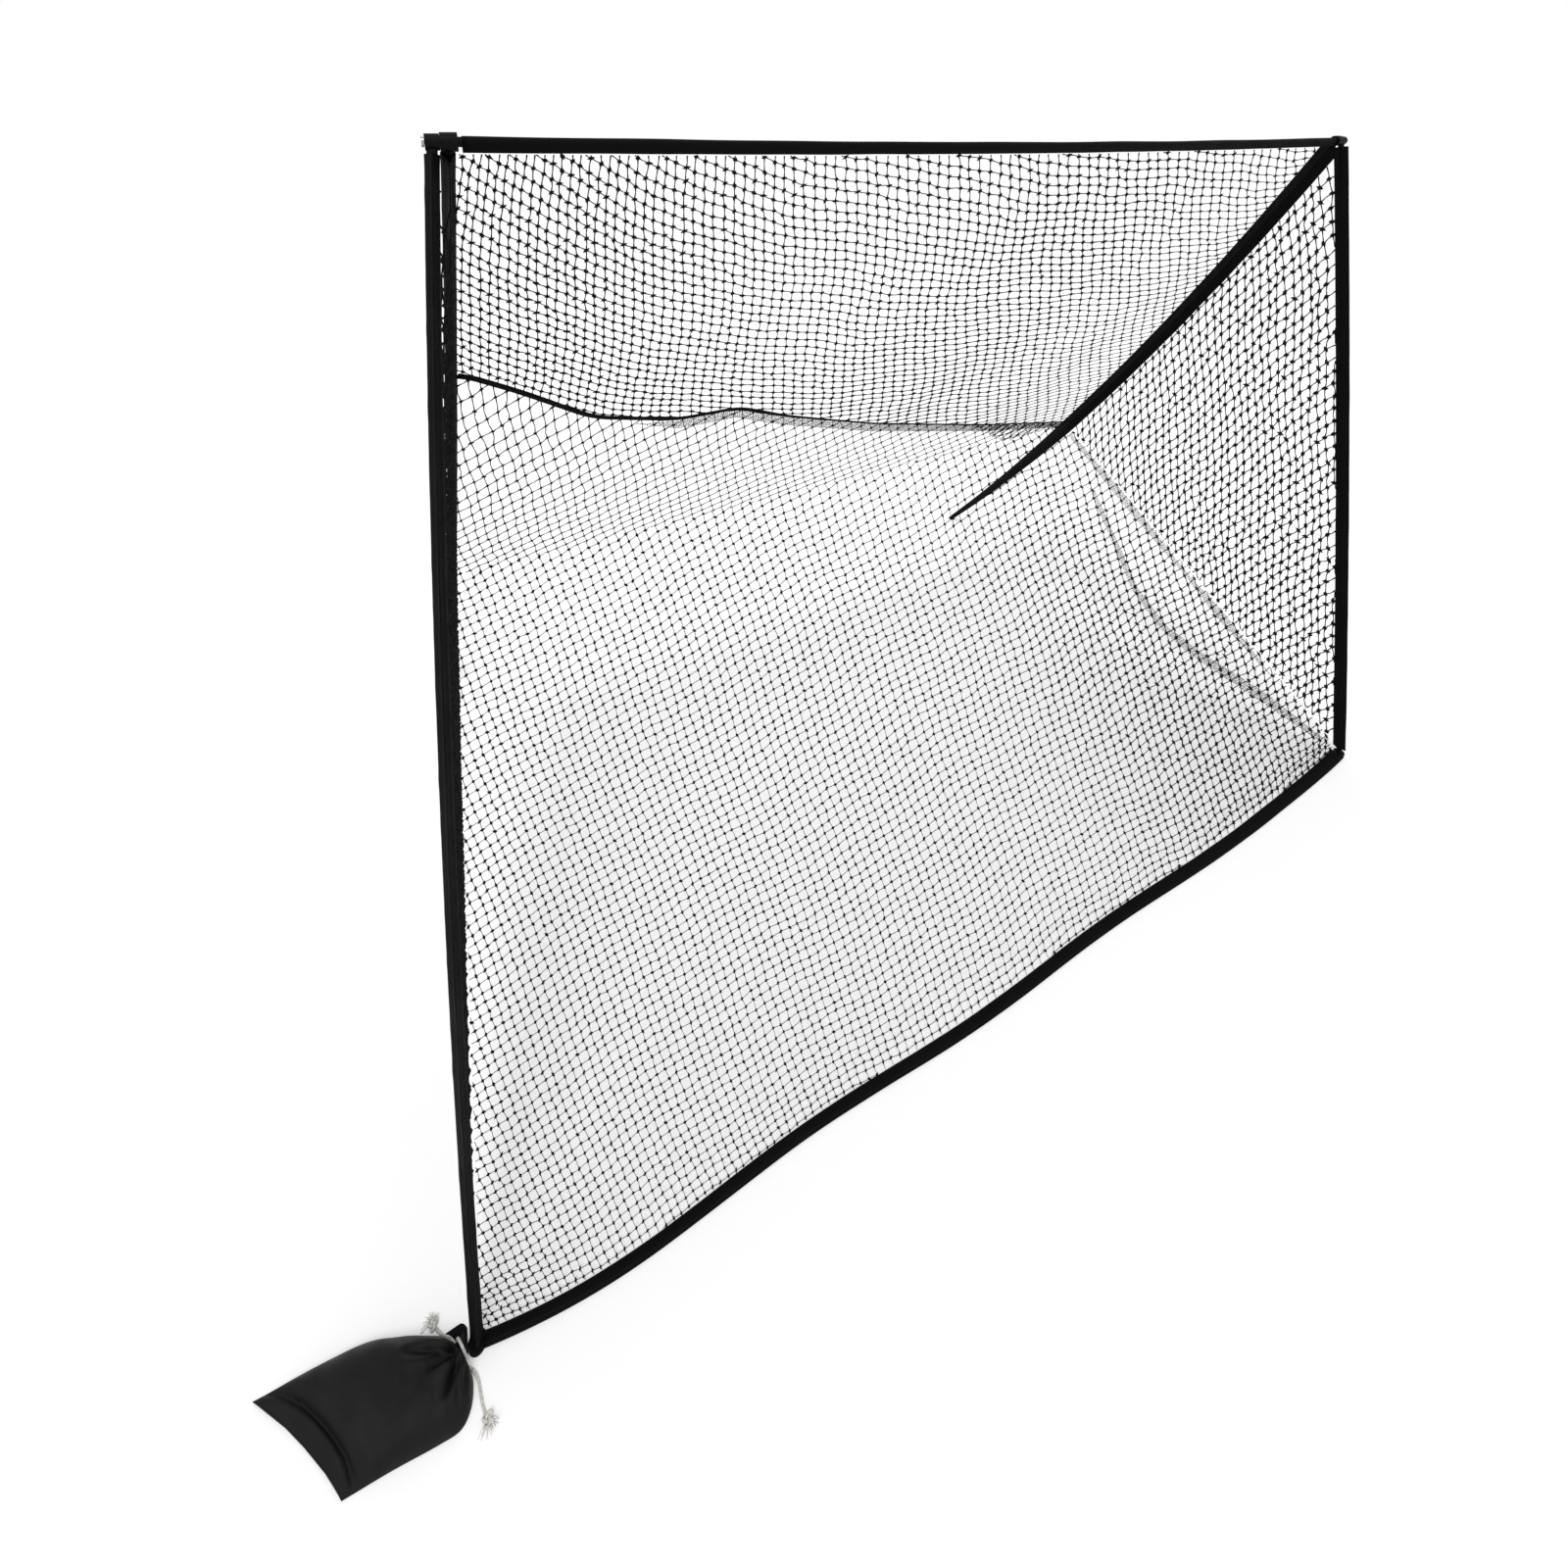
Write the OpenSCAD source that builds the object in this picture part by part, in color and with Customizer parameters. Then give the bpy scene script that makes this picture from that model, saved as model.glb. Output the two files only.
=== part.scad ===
// Golf chipping net: a free-standing A-frame of sectional fibreglass poles in
// fabric sleeves, with a back net, a ramp-shaped lower net, two side nets and
// a drawstring pouch tied to the front left corner.
// X runs to the right along the front edge, Y runs back and Z runs up. The
// origin is on the ground, under the middle of the front hem.

/* [Frame] */
// Height of the top pole's axis above the ground
top_height = 2130; // [1900:10:2300]
// Distance between the two front feet
foot_span = 2850; // [2700:10:3000]
// Distance between the planes in which the two rear struts stand
strut_span = 2492; // [2400:4:2560]
// How far the top pole stands behind the front feet
lean = 270; // [220:10:320]
// How far the rear feet stand behind the front feet
depth = 1900; // [1800:10:2000]
// How far the front feet stand behind the middle of the ground hem
foot_set_back = 28; // [20:1:40]
// How far the left rear foot stands out past the corner above it
left_splay = 150; // [0:5:160]
// How far the right rear foot stands out past the corner above it
right_splay = 0; // [0:5:160]

/* [Poles] */
// Outside diameter of every pole
pole_d = 11; // [9:0.5:13]
// Bore of every pole, which the elastic cord runs through
pole_bore = 5.2; // [4:0.2:6]
// Diameter of the elastic cord inside the poles
elastic_d = 4.6; // [3:0.2:5]
// Wall of the ferrules that join the pole sections
ferrule_wall = 1.5; // [1:0.1:2]
// Length of one ferrule
ferrule_length = 80; // [50:5:120]
// Free space between the ends of two pole sections
section_gap = 0.5; // [0.3:0.1:1]
// Sections of the top pole
top_sections = 4; // [4]
// Sections of each front leg
leg_sections = 3; // [3]
// Sections of each rear strut
strut_sections = 4; // [4]

/* [Bend] */
// How far the top pole sags in its middle
top_sag = 11; // [5:1:20]
// How far each front leg bows outwards in its middle
leg_bow = 15; // [8:1:24]
// How far each rear strut bows forwards under the pull of the net
strut_bow = 72; // [50:1:90]

/* [Sleeves] */
// Thickness of the sleeve fabric
fabric = 1; // [0.8:0.1:1.4]
// Height of the top sleeve
top_sleeve_w = 26; // [22:1:32]
// Width of the leg sleeves, front to back
leg_sleeve_w = 40; // [30:1:44]
// Width of the strut sleeves at the top
strut_sleeve_w = 58; // [48:1:64]
// Width of the strut sleeves at the rear foot
strut_sleeve_tip = 22; // [20:1:30]
// Where the strut sleeves begin to taper, measured down the strut
strut_sleeve_taper = 1560; // [1200:20:1800]

/* [Ground hem] */
// Width of the hem at its left end
hem_left_w = 20; // [16:1:30]
// Width of the hem at its right end
hem_right_w = 38; // [20:1:44]
// Thickness of the hem
hem_h = 9; // [6:1:12]
// Height of the wave in which the hem lies at its left end
hem_wave = 13; // [0:1:16]
// Length of one wave
hem_wave_length = 950; // [800:10:1100]
// Distance over which the wave fades by about two thirds
hem_wave_fade = 1500; // [1200:50:2000]

/* [Corner fittings] */
// Radius of the sockets that hold the pole ends
socket_r = 8; // [8:0.5:9]
// Length of a socket from the corner's centre
socket_length = 86; // [70:2:110]
// Radius of the hub that carries the pivot pin
hub_r = 15; // [13:0.5:17]
// Radius of the pivot pin
pin_r = 4; // [3.5:0.5:4.5]
// Radius of the pin's head
pin_head_r = 8; // [7:0.5:10]
// Width of the eye that turns on the pin
eye_w = 21; // [19:1:24]
// Radius of that eye
eye_r = 13; // [12:0.5:15]

/* [Feet] */
// Radius of the pads on the ground
pad_r = 16; // [13:1:17]
// Height of the pads
pad_h = 6; // [4:1:8]
// Length of the cup that holds the pole's end
cup_length = 46; // [36:2:60]
// Outside radius of that cup
cup_r = 8; // [8:0.5:9]

/* [Nets] */
// Thickness of the netting
net_t = 2; // [1.6:0.2:3]
// Where the net folds from the struts to the lower net, measured down the strut
fold_at = 1545; // [1400:1:1700]
// Width of the tape that is sewn over the pocket seam
tape_w = 24; // [16:1:30]
// Thickness of that tape
tape_t = 3; // [2.4:0.2:4]
// Distance between the bars that stand for the fine mesh of the back and lower nets
bar_pitch = 235; // [235:5:300]
// Width of those bars
bar_w = 12; // [8:1:20]

/* [Pouch] */
// Height of the filled pouch
pouch_h = 56; // [44:2:70]
// Radius of the pouch's bottom corners
pouch_corner_r = 9; // [7:1:12]
// Outside radius of the gathered neck
neck_r = 19; // [16:1:22]
// Diameter of the drawstring
drawstring_d = 5; // [4:0.5:6]

/* [Hidden] */

fit = 0.05;            // clearance of a pole in its socket and of the eye on its pin
soft_gap = 0.4;        // clearance between a soft piece and its neighbour
ring_step = 80;        // length of one straight facet along a bent pole
sleeve_in = max(pole_d + 2 * ferrule_wall, 2 * socket_r) + 2 * soft_gap;   // inside of a sleeve, across
sleeve_end = 18;       // a sleeve stops this far from its corner's centre
sleeve_foot = 14;      // and this far above its pole's lower end
sleeve_t = sleeve_in + 2 * fabric;                      // outside of a sleeve, across

// The corner, the feet and the chords that the poles are bent over.
corner_y = foot_set_back + lean;
strut_x = strut_span / 2;
hub_in = 14;
hub_out = 11;
eye_gap = 0.5;
leg_x = strut_x + hub_out + eye_gap + eye_w / 2;
pole_end_z = 8;
top_end = strut_x - hub_in - 4;
corner = [strut_x, corner_y, top_height];
leg_top = [leg_x, corner_y, top_height];
leg_foot = [foot_span / 2, foot_set_back, pole_end_z];
top_chord = 2 * top_end;
leg_chord = norm(leg_foot - leg_top);
pole_start = 14;       // the pole ends stop this far from a corner's centre
elastic_short = 2;     // the elastic cord ends this far inside its pole

// The surface between the struts falls along fall_dir, whatever the splay of each strut in it.
fall_foot = [strut_x, foot_set_back + depth, pole_end_z];
fall_chord = norm(fall_foot - corner);
fall_dir = (fall_foot - corner) / fall_chord;
strut_up = cross([1, 0, 0], fall_dir);

function bend_radius(chord, bow) = chord * chord / (8 * bow) + bow / 2;
function bend_at(s, chord, bow) =
    sqrt(pow(bend_radius(chord, bow), 2) - pow(s - chord / 2, 2)) - bend_radius(chord, bow) + bow;
function unit(v) = v / norm(v);

// A point at x on the surface between the struts, or off it towards the front by out.
function strut_point(x, s, out = 0) =
    [x, corner_y, top_height] + fall_dir * s - strut_up * (bend_at(s, fall_chord, strut_bow) + out);

// The strut of the side that $splay is set for.
function strut_foot() = fall_foot + [$splay, 0, 0];
function strut_chord() = norm(strut_foot() - corner);
function splay_at(splay, s) = splay * s / fall_chord;

// Puts local X along the line from p to q and local Y as near to up as it can be.
module along(p, q, up) {
    ex = unit(q - p);
    ey = unit(up - (up * ex) * ex);
    ez = cross(ex, ey);
    multmatrix([
        [ex.x, ey.x, ez.x, p.x],
        [ex.y, ey.y, ez.y, p.y],
        [ex.z, ey.z, ez.z, p.z],
        [0, 0, 0, 1]
    ]) children();
}

// Sweeps a flat profile along a bent line over a chord on local X, bowed to local +Y.
module bent(chord, bow, from, to) {
    radius = bend_radius(chord, bow);
    first = asin((from - chord / 2) / radius);
    last = asin((to - chord / 2) / radius);
    translate([chord / 2, bow - radius, 0])
        rotate([0, 0, 90 - last])
            rotate_extrude(angle = last - first, $fn = ceil(2 * PI * radius / ring_step))
                translate([radius, 0]) children();
}

module ring(outer, inner) {
    difference() {
        circle(r = outer, $fn = 40);
        circle(r = inner, $fn = 40);
    }
}

// A flat tube's outline, w along the bend's plane and t across it.
module flat_ring(w, t) {
    difference() {
        stadium(w, t);
        stadium(w - 2 * fabric, t - 2 * fabric);
    }
}

module stadium(w, t) {
    wide = max(w, t);
    thin = min(w, t);
    turned = t > w ? 90 : 0;
    rotate([0, 0, turned]) union() {
        square([wide - thin, thin], center = true);
        for (side = [-1, 1]) translate([side * (wide - thin) / 2, 0]) circle(d = thin, $fn = 32);
    }
}

// The three pole lines. Each puts its children in the pole's own place.
module on_top() { along([-top_end, corner_y, top_height], [top_end, corner_y, top_height], [0, 0, -1]) children(); }
module on_leg() { along(leg_top, leg_foot, [1, 0, 0]) children(); }
module on_strut() { along(corner, strut_foot(), -strut_up) children(); }
module left_side() { $splay = left_splay; mirror([1, 0, 0]) children(); }
module right_side() { $splay = right_splay; children(); }

// One pole section of n, a group of ferrules and the elastic cord of a pole line.
module section(chord, bow, start, end, n, i) {
    step = (end - start) / n;
    bent(chord, bow, start + i * step + (i > 0 ? section_gap / 2 : 0),
         start + (i + 1) * step - (i < n - 1 ? section_gap / 2 : 0))
        ring(pole_d / 2, pole_bore / 2);
}

module ferrules(chord, bow, start, end, n) {
    step = (end - start) / n;
    for (i = [1 : n - 1])
        bent(chord, bow, start + i * step - ferrule_length / 2, start + i * step + ferrule_length / 2)
            ring(pole_d / 2 + ferrule_wall, pole_d / 2 + fit);
}

module elastic(chord, bow, start, end) {
    bent(chord, bow, start + elastic_short, end - elastic_short) circle(d = elastic_d, $fn = 24);
}

// Top pole
module top_section(i) { color("darkslategray") on_top() section(top_chord, top_sag, 0, top_chord, top_sections, i); }
module top_ferrules() { color("silver") on_top() ferrules(top_chord, top_sag, 0, top_chord, top_sections); }
module top_elastic() { color("white") on_top() elastic(top_chord, top_sag, 0, top_chord); }

// The sleeve hangs on the pole, so its slack is below.
module top_sleeve() {
    slack = (top_sleeve_w - sleeve_t) / 2;
    color("black") on_top() bent(top_chord, top_sag, 1, top_chord - 1)
        translate([slack, 0]) flat_ring(top_sleeve_w, sleeve_t);
}

// Rear struts
module strut_section(i) {
    color("darkslategray") on_strut()
        section(strut_chord(), strut_bow, pole_start, strut_chord(), strut_sections, i);
}
module strut_ferrules() {
    color("silver") on_strut() ferrules(strut_chord(), strut_bow, pole_start, strut_chord(), strut_sections);
}
module strut_elastic() { color("white") on_strut() elastic(strut_chord(), strut_bow, pole_start, strut_chord()); }

// Half the sleeve's width at s, and a closed strip of that width around the bent strut.
function strut_half(s) = s < strut_sleeve_taper ? strut_sleeve_w / 2
    : (strut_sleeve_w + (strut_sleeve_tip - strut_sleeve_w)
       * (s - strut_sleeve_taper) / (strut_chord() - strut_sleeve_taper)) / 2;
module strut_strip(from, to, inset, steps) {
    step = (to - from) / steps;
    polygon(concat(
        [for (i = [0 : steps]) let (s = from + i * step)
            [s, bend_at(s, strut_chord(), strut_bow) + strut_half(s) - inset]],
        [for (i = [steps : -1 : 0]) let (s = from + i * step)
            [s, bend_at(s, strut_chord(), strut_bow) - strut_half(s) + inset]]));
}
module strut_sleeve() {
    first = sleeve_end;
    last = strut_chord() - sleeve_foot;
    color("black") on_strut() difference() {
        linear_extrude(sleeve_t, center = true) strut_strip(first, last, 0, 28);
        linear_extrude(sleeve_in, center = true) strut_strip(first - 1, last + 1, fabric, 28);
    }
}

// Front legs
module leg_section(i) { color("darkslategray") on_leg() section(leg_chord, leg_bow, pole_start, leg_chord, leg_sections, i); }
module leg_ferrules() { color("silver") on_leg() ferrules(leg_chord, leg_bow, pole_start, leg_chord, leg_sections); }
module leg_elastic() { color("white") on_leg() elastic(leg_chord, leg_bow, pole_start, leg_chord); }
module leg_sleeve() {
    color("black") on_leg() bent(leg_chord, leg_bow, sleeve_end, leg_chord - sleeve_foot)
        flat_ring(sleeve_t, leg_sleeve_w);
}

// A socket along a pole line: a bent tube that is closed at the corner.
module socket(chord, bow, from, to, open_from, open_to) {
    difference() {
        bent(chord, bow, from, to) circle(r = socket_r, $fn = 40);
        bent(chord, bow, open_from, open_to) circle(r = pole_d / 2 + fit, $fn = 40);
    }
}

// The moulded corner: a hub on the pivot axis with sockets for the top pole and the strut.
module corner_fitting() {
    color("dimgray") difference() {
        union() {
            translate([strut_x - hub_in, corner_y, top_height]) rotate([0, 90, 0])
                cylinder(r = hub_r, h = hub_in + hub_out, $fn = 64);
            on_top() bent(top_chord, top_sag, top_chord - socket_length + pole_start, top_chord + 6)
                circle(r = socket_r, $fn = 40);
            on_strut() bent(strut_chord(), strut_bow, 0, socket_length) circle(r = socket_r, $fn = 40);
        }
        on_top() bent(top_chord, top_sag, top_chord - socket_length, top_chord + 0.4)
            circle(r = pole_d / 2 + fit, $fn = 40);
        on_strut() bent(strut_chord(), strut_bow, pole_start - 0.4, socket_length + 4)
            circle(r = pole_d / 2 + fit, $fn = 40);
        translate([strut_x - hub_in + 5, corner_y, top_height]) rotate([0, 90, 0])
            cylinder(r = pin_r + fit, h = hub_in + hub_out, $fn = 48);
    }
}

module pivot_pin() {
    start = strut_x - hub_in + 5.2;
    length = hub_in - 5.2 + hub_out + 2 * eye_gap + eye_w;
    color("silver") translate([start, corner_y, top_height]) rotate([0, 90, 0]) union() {
        cylinder(r = pin_r, h = length + 1, $fn = 48);
        translate([0, 0, length]) cylinder(r = pin_head_r, h = 4, $fn = 48);
    }
}

// The leg's socket turns on the pivot pin with its eye.
module leg_socket() {
    color("dimgray") difference() {
        union() {
            translate([leg_x - eye_w / 2, corner_y, top_height]) rotate([0, 90, 0])
                cylinder(r = eye_r, h = eye_w, $fn = 64);
            on_leg() bent(leg_chord, leg_bow, 0, socket_length) circle(r = socket_r, $fn = 40);
        }
        on_leg() bent(leg_chord, leg_bow, pole_start - 0.4, socket_length + 4)
            circle(r = pole_d / 2 + fit, $fn = 40);
        translate([leg_x - eye_w, corner_y, top_height]) rotate([0, 90, 0])
            cylinder(r = pin_r + fit, h = 2 * eye_w, $fn = 48);
    }
}

// A rubber foot: a pad on the ground and a cup round the pole's end.
module pad(at) { translate([at.x, at.y, 0]) cylinder(r = pad_r, h = pad_h, $fn = 64); }
module below_ground(at) { translate([at.x - 60, at.y - 60, -60]) cube([120, 120, 60]); }
module front_foot() {
    color("black") difference() {
        union() {
            pad(leg_foot);
            on_leg() bent(leg_chord, leg_bow, leg_chord - cup_length, leg_chord + 3) circle(r = cup_r, $fn = 40);
        }
        on_leg() bent(leg_chord, leg_bow, leg_chord - cup_length - 4, leg_chord + 0.3)
            circle(r = pole_d / 2 + fit, $fn = 40);
        below_ground(leg_foot);
    }
}
module rear_foot() {
    color("black") difference() {
        union() {
            pad(strut_foot());
            on_strut() bent(strut_chord(), strut_bow, strut_chord() - cup_length, strut_chord() + 3)
                circle(r = cup_r, $fn = 40);
        }
        on_strut() bent(strut_chord(), strut_bow, strut_chord() - cup_length - 4, strut_chord() + 0.3)
            circle(r = pole_d / 2 + fit, $fn = 40);
        below_ground(strut_foot());
    }
}

// The ground hem: a flat band that lies in a fading wave between the front feet.
hem_end = foot_span / 2 - pad_r - soft_gap;
hem_steps = 60;
function hem_y(x) = foot_set_back * pow(abs(x) / (foot_span / 2), 6)
    + hem_wave * exp(-(x + foot_span / 2) / hem_wave_fade) * cos(360 * (x + foot_span / 4) / hem_wave_length);
function hem_half(x) = (hem_left_w + (hem_right_w - hem_left_w) * (x / foot_span + 0.5)) / 2;
module ground_hem() {
    step = 2 * hem_end / hem_steps;
    color("black") linear_extrude(hem_h) polygon(concat(
        [for (i = [0 : hem_steps]) let (x = -hem_end + i * step) [x, hem_y(x) - hem_half(x)]],
        [for (i = [hem_steps : -1 : 0]) let (x = -hem_end + i * step) [x, hem_y(x) + hem_half(x)]]));
}

// A fabric tab at the left foot, to which the pouch is tied.
tab_t = 2.4;
module corner_tab() {
    tab_x = -foot_span / 2 - pad_r - soft_gap;
    color("midnightblue") linear_extrude(tab_t)
        polygon([[tab_x, 22], [tab_x, 60], [tab_x - 16, 66], [tab_x - 42, 64], [tab_x - 38, 46], [tab_x - 8, 30]]);
}

// The nets. Each is a thin panel that is cut from the surface it hangs in.
net_x = strut_x - sleeve_t / 2 - 0.5;
top_edge_steps = 12;
// The back net's top edge follows the sagging top sleeve, measured down the strut.
function net_top(x) = (top_sleeve_w - sleeve_t / 2 + bend_at(x + top_end, top_chord, top_sag)) / -fall_dir.z + 1.5;
seam_cut = tape_w / 2 + soft_gap;
// The pocket seam on the surface between the struts: distance from the left to the right, and down the strut.
seam = [[-1, 548], [-0.9, 640], [-0.76, 790], [-0.58, 868], [-0.44, 866], [-0.3, 960],
        [0, 1125], [0.5, 1335], [1, 1515]];
function seam_line(off) = [for (p = seam) [edge_x(p.x, p.y + off), p.y + off]];
// The x of a share u of the way to a side's strut, at a distance s down the surface.
function edge_x(u, s) = u * (net_x + splay_at(u < 0 ? left_splay : right_splay, s));

// A sheet between the struts that follows their bend, from and to measured down the strut.
module strut_sheet(from, to, thick) {
    steps = 20;
    step = (to - from) / steps;
    along(corner, fall_foot, -strut_up) linear_extrude(3 * strut_span, center = true) polygon(concat(
        [for (i = [0 : steps]) let (s = from + i * step) [s, bend_at(s, fall_chord, strut_bow) + thick / 2]],
        [for (i = [steps : -1 : 0]) let (s = from + i * step) [s, bend_at(s, fall_chord, strut_bow) - thick / 2]]));
}
// A straight prism across that sheet, from a flat shape of [distance down the strut, x].
module strut_prism() {
    along([0, corner_y, top_height], [0, corner_y, top_height] + fall_dir, [1, 0, 0])
        linear_extrude(400, center = true) children();
}
module turned(outline) { polygon([for (p = outline) [p.y, p.x]]); }

// The openings between plain bars inside a flat shape, which keep a bar's width from its edge.
bars_each_side = 6;
module openings() {
    intersection() {
        offset(delta = -bar_w) children();
        for (i = [0 : 2 * bars_each_side - 1]) for (j = [-bars_each_side : bars_each_side - 1])
            translate([i * bar_pitch + bar_w / 2, j * bar_pitch + bar_w / 2])
                square(bar_pitch - bar_w);
    }
}

module back_outline() {
    turned(concat(
        [for (i = [0 : top_edge_steps])
            let (u = 2 * i / top_edge_steps - 1, s = net_top(u * net_x)) [edge_x(u, s), s]],
        [for (i = [len(seam) - 1 : -1 : 0]) seam_line(-seam_cut)[i]]));
}
module net_back() {
    color("dimgray") intersection() {
        strut_sheet(5, fold_at, net_t);
        strut_prism() difference() {
            back_outline();
            openings() back_outline();
        }
    }
}

module pocket_seam() {
    color("black") intersection() {
        strut_sheet(5, fold_at + 60, tape_t);
        strut_prism() turned(concat(seam_line(-tape_w / 2),
            [for (i = [len(seam) - 1 : -1 : 0]) seam_line(tape_w / 2)[i]]));
    }
}

// A thin sheet over rows of points, each row thickened both ways by its own vector.
module sheet(rows, offs) {
    n = len(rows);
    m = len(rows[0]);
    points = concat([for (i = [0 : n - 1]) for (p = rows[i]) p + offs[i]],
        [for (i = [0 : n - 1]) for (p = rows[i]) p - offs[i]]);
    under = n * m;
    faces = concat(
        [for (i = [0 : n - 2]) for (j = [0 : m - 2]) for (half = [0, 1]) let (a = i * m + j)
            half == 0 ? [a, a + 1, a + m + 1] : [a, a + m + 1, a + m]],
        [for (i = [0 : n - 2]) for (j = [0 : m - 2]) for (half = [0, 1]) let (a = under + i * m + j)
            half == 0 ? [a, a + m + 1, a + 1] : [a, a + m, a + m + 1]],
        [for (j = [0 : m - 2]) for (half = [0, 1])
            half == 0 ? [j, under + j, under + j + 1] : [j, under + j + 1, j + 1]],
        [for (j = [0 : m - 2]) for (half = [0, 1]) let (a = (n - 1) * m + j)
            half == 0 ? [a, under + a + 1, under + a] : [a, a + 1, under + a + 1]],
        [for (i = [0 : n - 2]) for (half = [0, 1]) let (a = i * m)
            half == 0 ? [a, under + a + m, under + a] : [a, a + m, under + a + m]],
        [for (i = [0 : n - 2]) for (half = [0, 1]) let (a = i * m + m - 1)
            half == 0 ? [a, under + a, under + a + m] : [a, under + a + m, a + m]]);
    polyhedron(points, faces);
}

// The lower net rises from the ground hem to the fold and runs up the struts to the seam.
ramp_start = 12;      // where its slope would meet the hem's mid height
ramp_bend = 60;       // in front of this, measured from there, the net bends down to the hem
strut_clear = 12;     // free space beside the strut sleeves, along the slope
hem_clear = 6;        // free space between the net's front corners and the feet
side_foot = 34;       // a side net ends this far above its leg's lower end
fold_clear = 3;       // and this far above the fold at the strut
ramp_front = [0, ramp_start, hem_h / 2];
ramp_back = strut_point(0, fold_at);
ramp_length = norm(ramp_back - ramp_front);
ramp_dir = (ramp_back - ramp_front) / ramp_length;
ramp_up = [0, -ramp_dir.z, ramp_dir.y];
ramp_from = ramp_bend / ramp_dir.y;
ramp_narrow = ramp_length - strut_sleeve_w / 2 - strut_clear;  // here it has to fit between the strut sleeves
hem_x = foot_span / 2 - pad_r - hem_clear;
near_x = foot_span / 2 - pad_r - 1;
hem_columns = 36;
lap = 0.3;   // how far each part of the lower net reaches into the next, short of its faces
module ramp_outline() {
    turned([[-near_x, ramp_from - 1], [near_x, ramp_from - 1],
        [edge_x(1, fold_at) - lap, ramp_narrow], [edge_x(1, fold_at) - lap, ramp_length + net_t / 2 - lap],
        [edge_x(-1, fold_at) + lap, ramp_length + net_t / 2 - lap], [edge_x(-1, fold_at) + lap, ramp_narrow]]);
}
module riser_outline() {
    turned(concat(seam_line(seam_cut), [[edge_x(1, fold_at), 2 * fold_at], [edge_x(-1, fold_at), 2 * fold_at]]));
}
module net_lower() {
    across = [for (i = [0 : hem_columns]) 2 * i / hem_columns - 1];
    near = ramp_front + ramp_dir * ramp_from;
    strip = [[for (u = across) [u * hem_x, hem_y(u * hem_x) + hem_half(u * hem_x) + soft_gap + net_t, hem_h / 2]],
        [for (u = across) [u * near_x, near.y, near.z]]];
    color("dimgray") union() {
        sheet(strip, [-ramp_up * net_t / 2, -ramp_up * (net_t / 2 - lap)]);
        along(ramp_front, ramp_back, [1, 0, 0]) linear_extrude(net_t, center = true) difference() {
            ramp_outline();
            openings() ramp_outline();
        }
        intersection() {
            strut_sheet(5, fold_at + net_t / 2 - lap, net_t);
            strut_prism() difference() {
                riser_outline();
                openings() intersection() {
                    riser_outline();
                    translate([0, -strut_span]) square([fold_at, 2 * strut_span]);
                }
            }
        }
    }
}

// A side net spans from a front leg's sleeve to a strut's sleeve and down to the lower net.
side_rows = 14;
side_columns = 4;
leg_in = unit([0, leg_top.z - leg_foot.z, leg_foot.y - leg_top.y]);
side_start = socket_length + 8;
// A point on the leg's axis, and one on the sleeve's rear edge beside it.
leg_dir = (leg_foot - leg_top) / leg_chord;
leg_out = unit([1, 0, 0] - leg_dir.x * leg_dir);
function leg_point(s) = leg_top + leg_dir * s + leg_out * bend_at(s, leg_chord, leg_bow)
    + leg_in * (leg_sleeve_w / 2 + soft_gap);
module side_net() {
    leg_last = leg_chord - side_foot;
    strut_last = fold_at - fold_clear;
    rows = [for (i = [0 : side_rows])
        let (t = i / side_rows,
             p = leg_point(side_start + (leg_last - side_start) * t),
             s = side_start + (strut_last - side_start) * t,
             q = strut_point(strut_x + splay_at($splay, s), s, strut_sleeve_w / 2 + soft_gap))
        [for (j = [0 : side_columns]) p + (q - p) * j / side_columns]];
    color("dimgray") sheet(rows, [for (r = rows) [-net_t / 2, 0, 0]]);
}

// The pouch lies on the ground beside the left foot, its mouth towards the foot.
pouch_at = [-foot_span / 2, foot_set_back];
module ball_on_ground(x, y, r) { translate([pouch_at.x + x, pouch_at.y + y, r]) sphere(r = r, $fn = 32); }
neck_base = [pouch_at.x - 70, pouch_at.y - 3, 24];
neck_tip = [pouch_at.x - 22, pouch_at.y - 3, 21];
neck_length = norm(neck_tip - neck_base);
waist = 0.55;
module pouch() {
    fold_r = pouch_corner_r;
    full_r = pouch_h / 2;
    color("black") union() {
        hull() {
            ball_on_ground(-340, 86, fold_r);
            ball_on_ground(-199, -69, fold_r);
            ball_on_ground(-150, 30, full_r);
            ball_on_ground(-95, 22, full_r);
            ball_on_ground(-90, -36, full_r);
            ball_on_ground(-150, -24, full_r);
        }
        // The gathered mouth is narrow under the drawstring and flares in front of it.
        along(neck_base, neck_tip, [0, 0, 1]) rotate([0, 90, 0]) rotate_extrude($fn = 48)
            polygon([[0, 0], [neck_r, 0], [neck_r * 0.86, neck_length * 0.3],
                [neck_r * waist, neck_length * 0.52], [neck_r * waist, neck_length * 0.74],
                [neck_r * 0.8, neck_length], [0, neck_length]]);
    }
}

// A round cord along a list of points, none of them straight behind another along X.
module cord(path, d, sides) {
    n = len(path);
    heads = [for (i = [0 : n - 1]) unit(path[min(i + 1, n - 1)] - path[max(i - 1, 0)])];
    sideways = [for (h = heads) unit(cross(h, [1, 0, 0]))];
    points = [for (i = [0 : n - 1]) for (k = [0 : sides - 1])
        path[i] + d / 2 * (sideways[i] * cos(360 * k / sides) + cross(heads[i], sideways[i]) * sin(360 * k / sides))];
    walls = [for (i = [0 : n - 2]) for (k = [0 : sides - 1]) for (half = [0, 1])
        let (a = i * sides + k, b = i * sides + (k + 1) % sides)
        half == 0 ? [a, b + sides, b] : [a, a + sides, b + sides]];
    polyhedron(points, concat([[for (k = [0 : sides - 1]) k]],
        walls, [[for (k = [sides - 1 : -1 : 0]) (n - 1) * sides + k]]));
}

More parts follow.
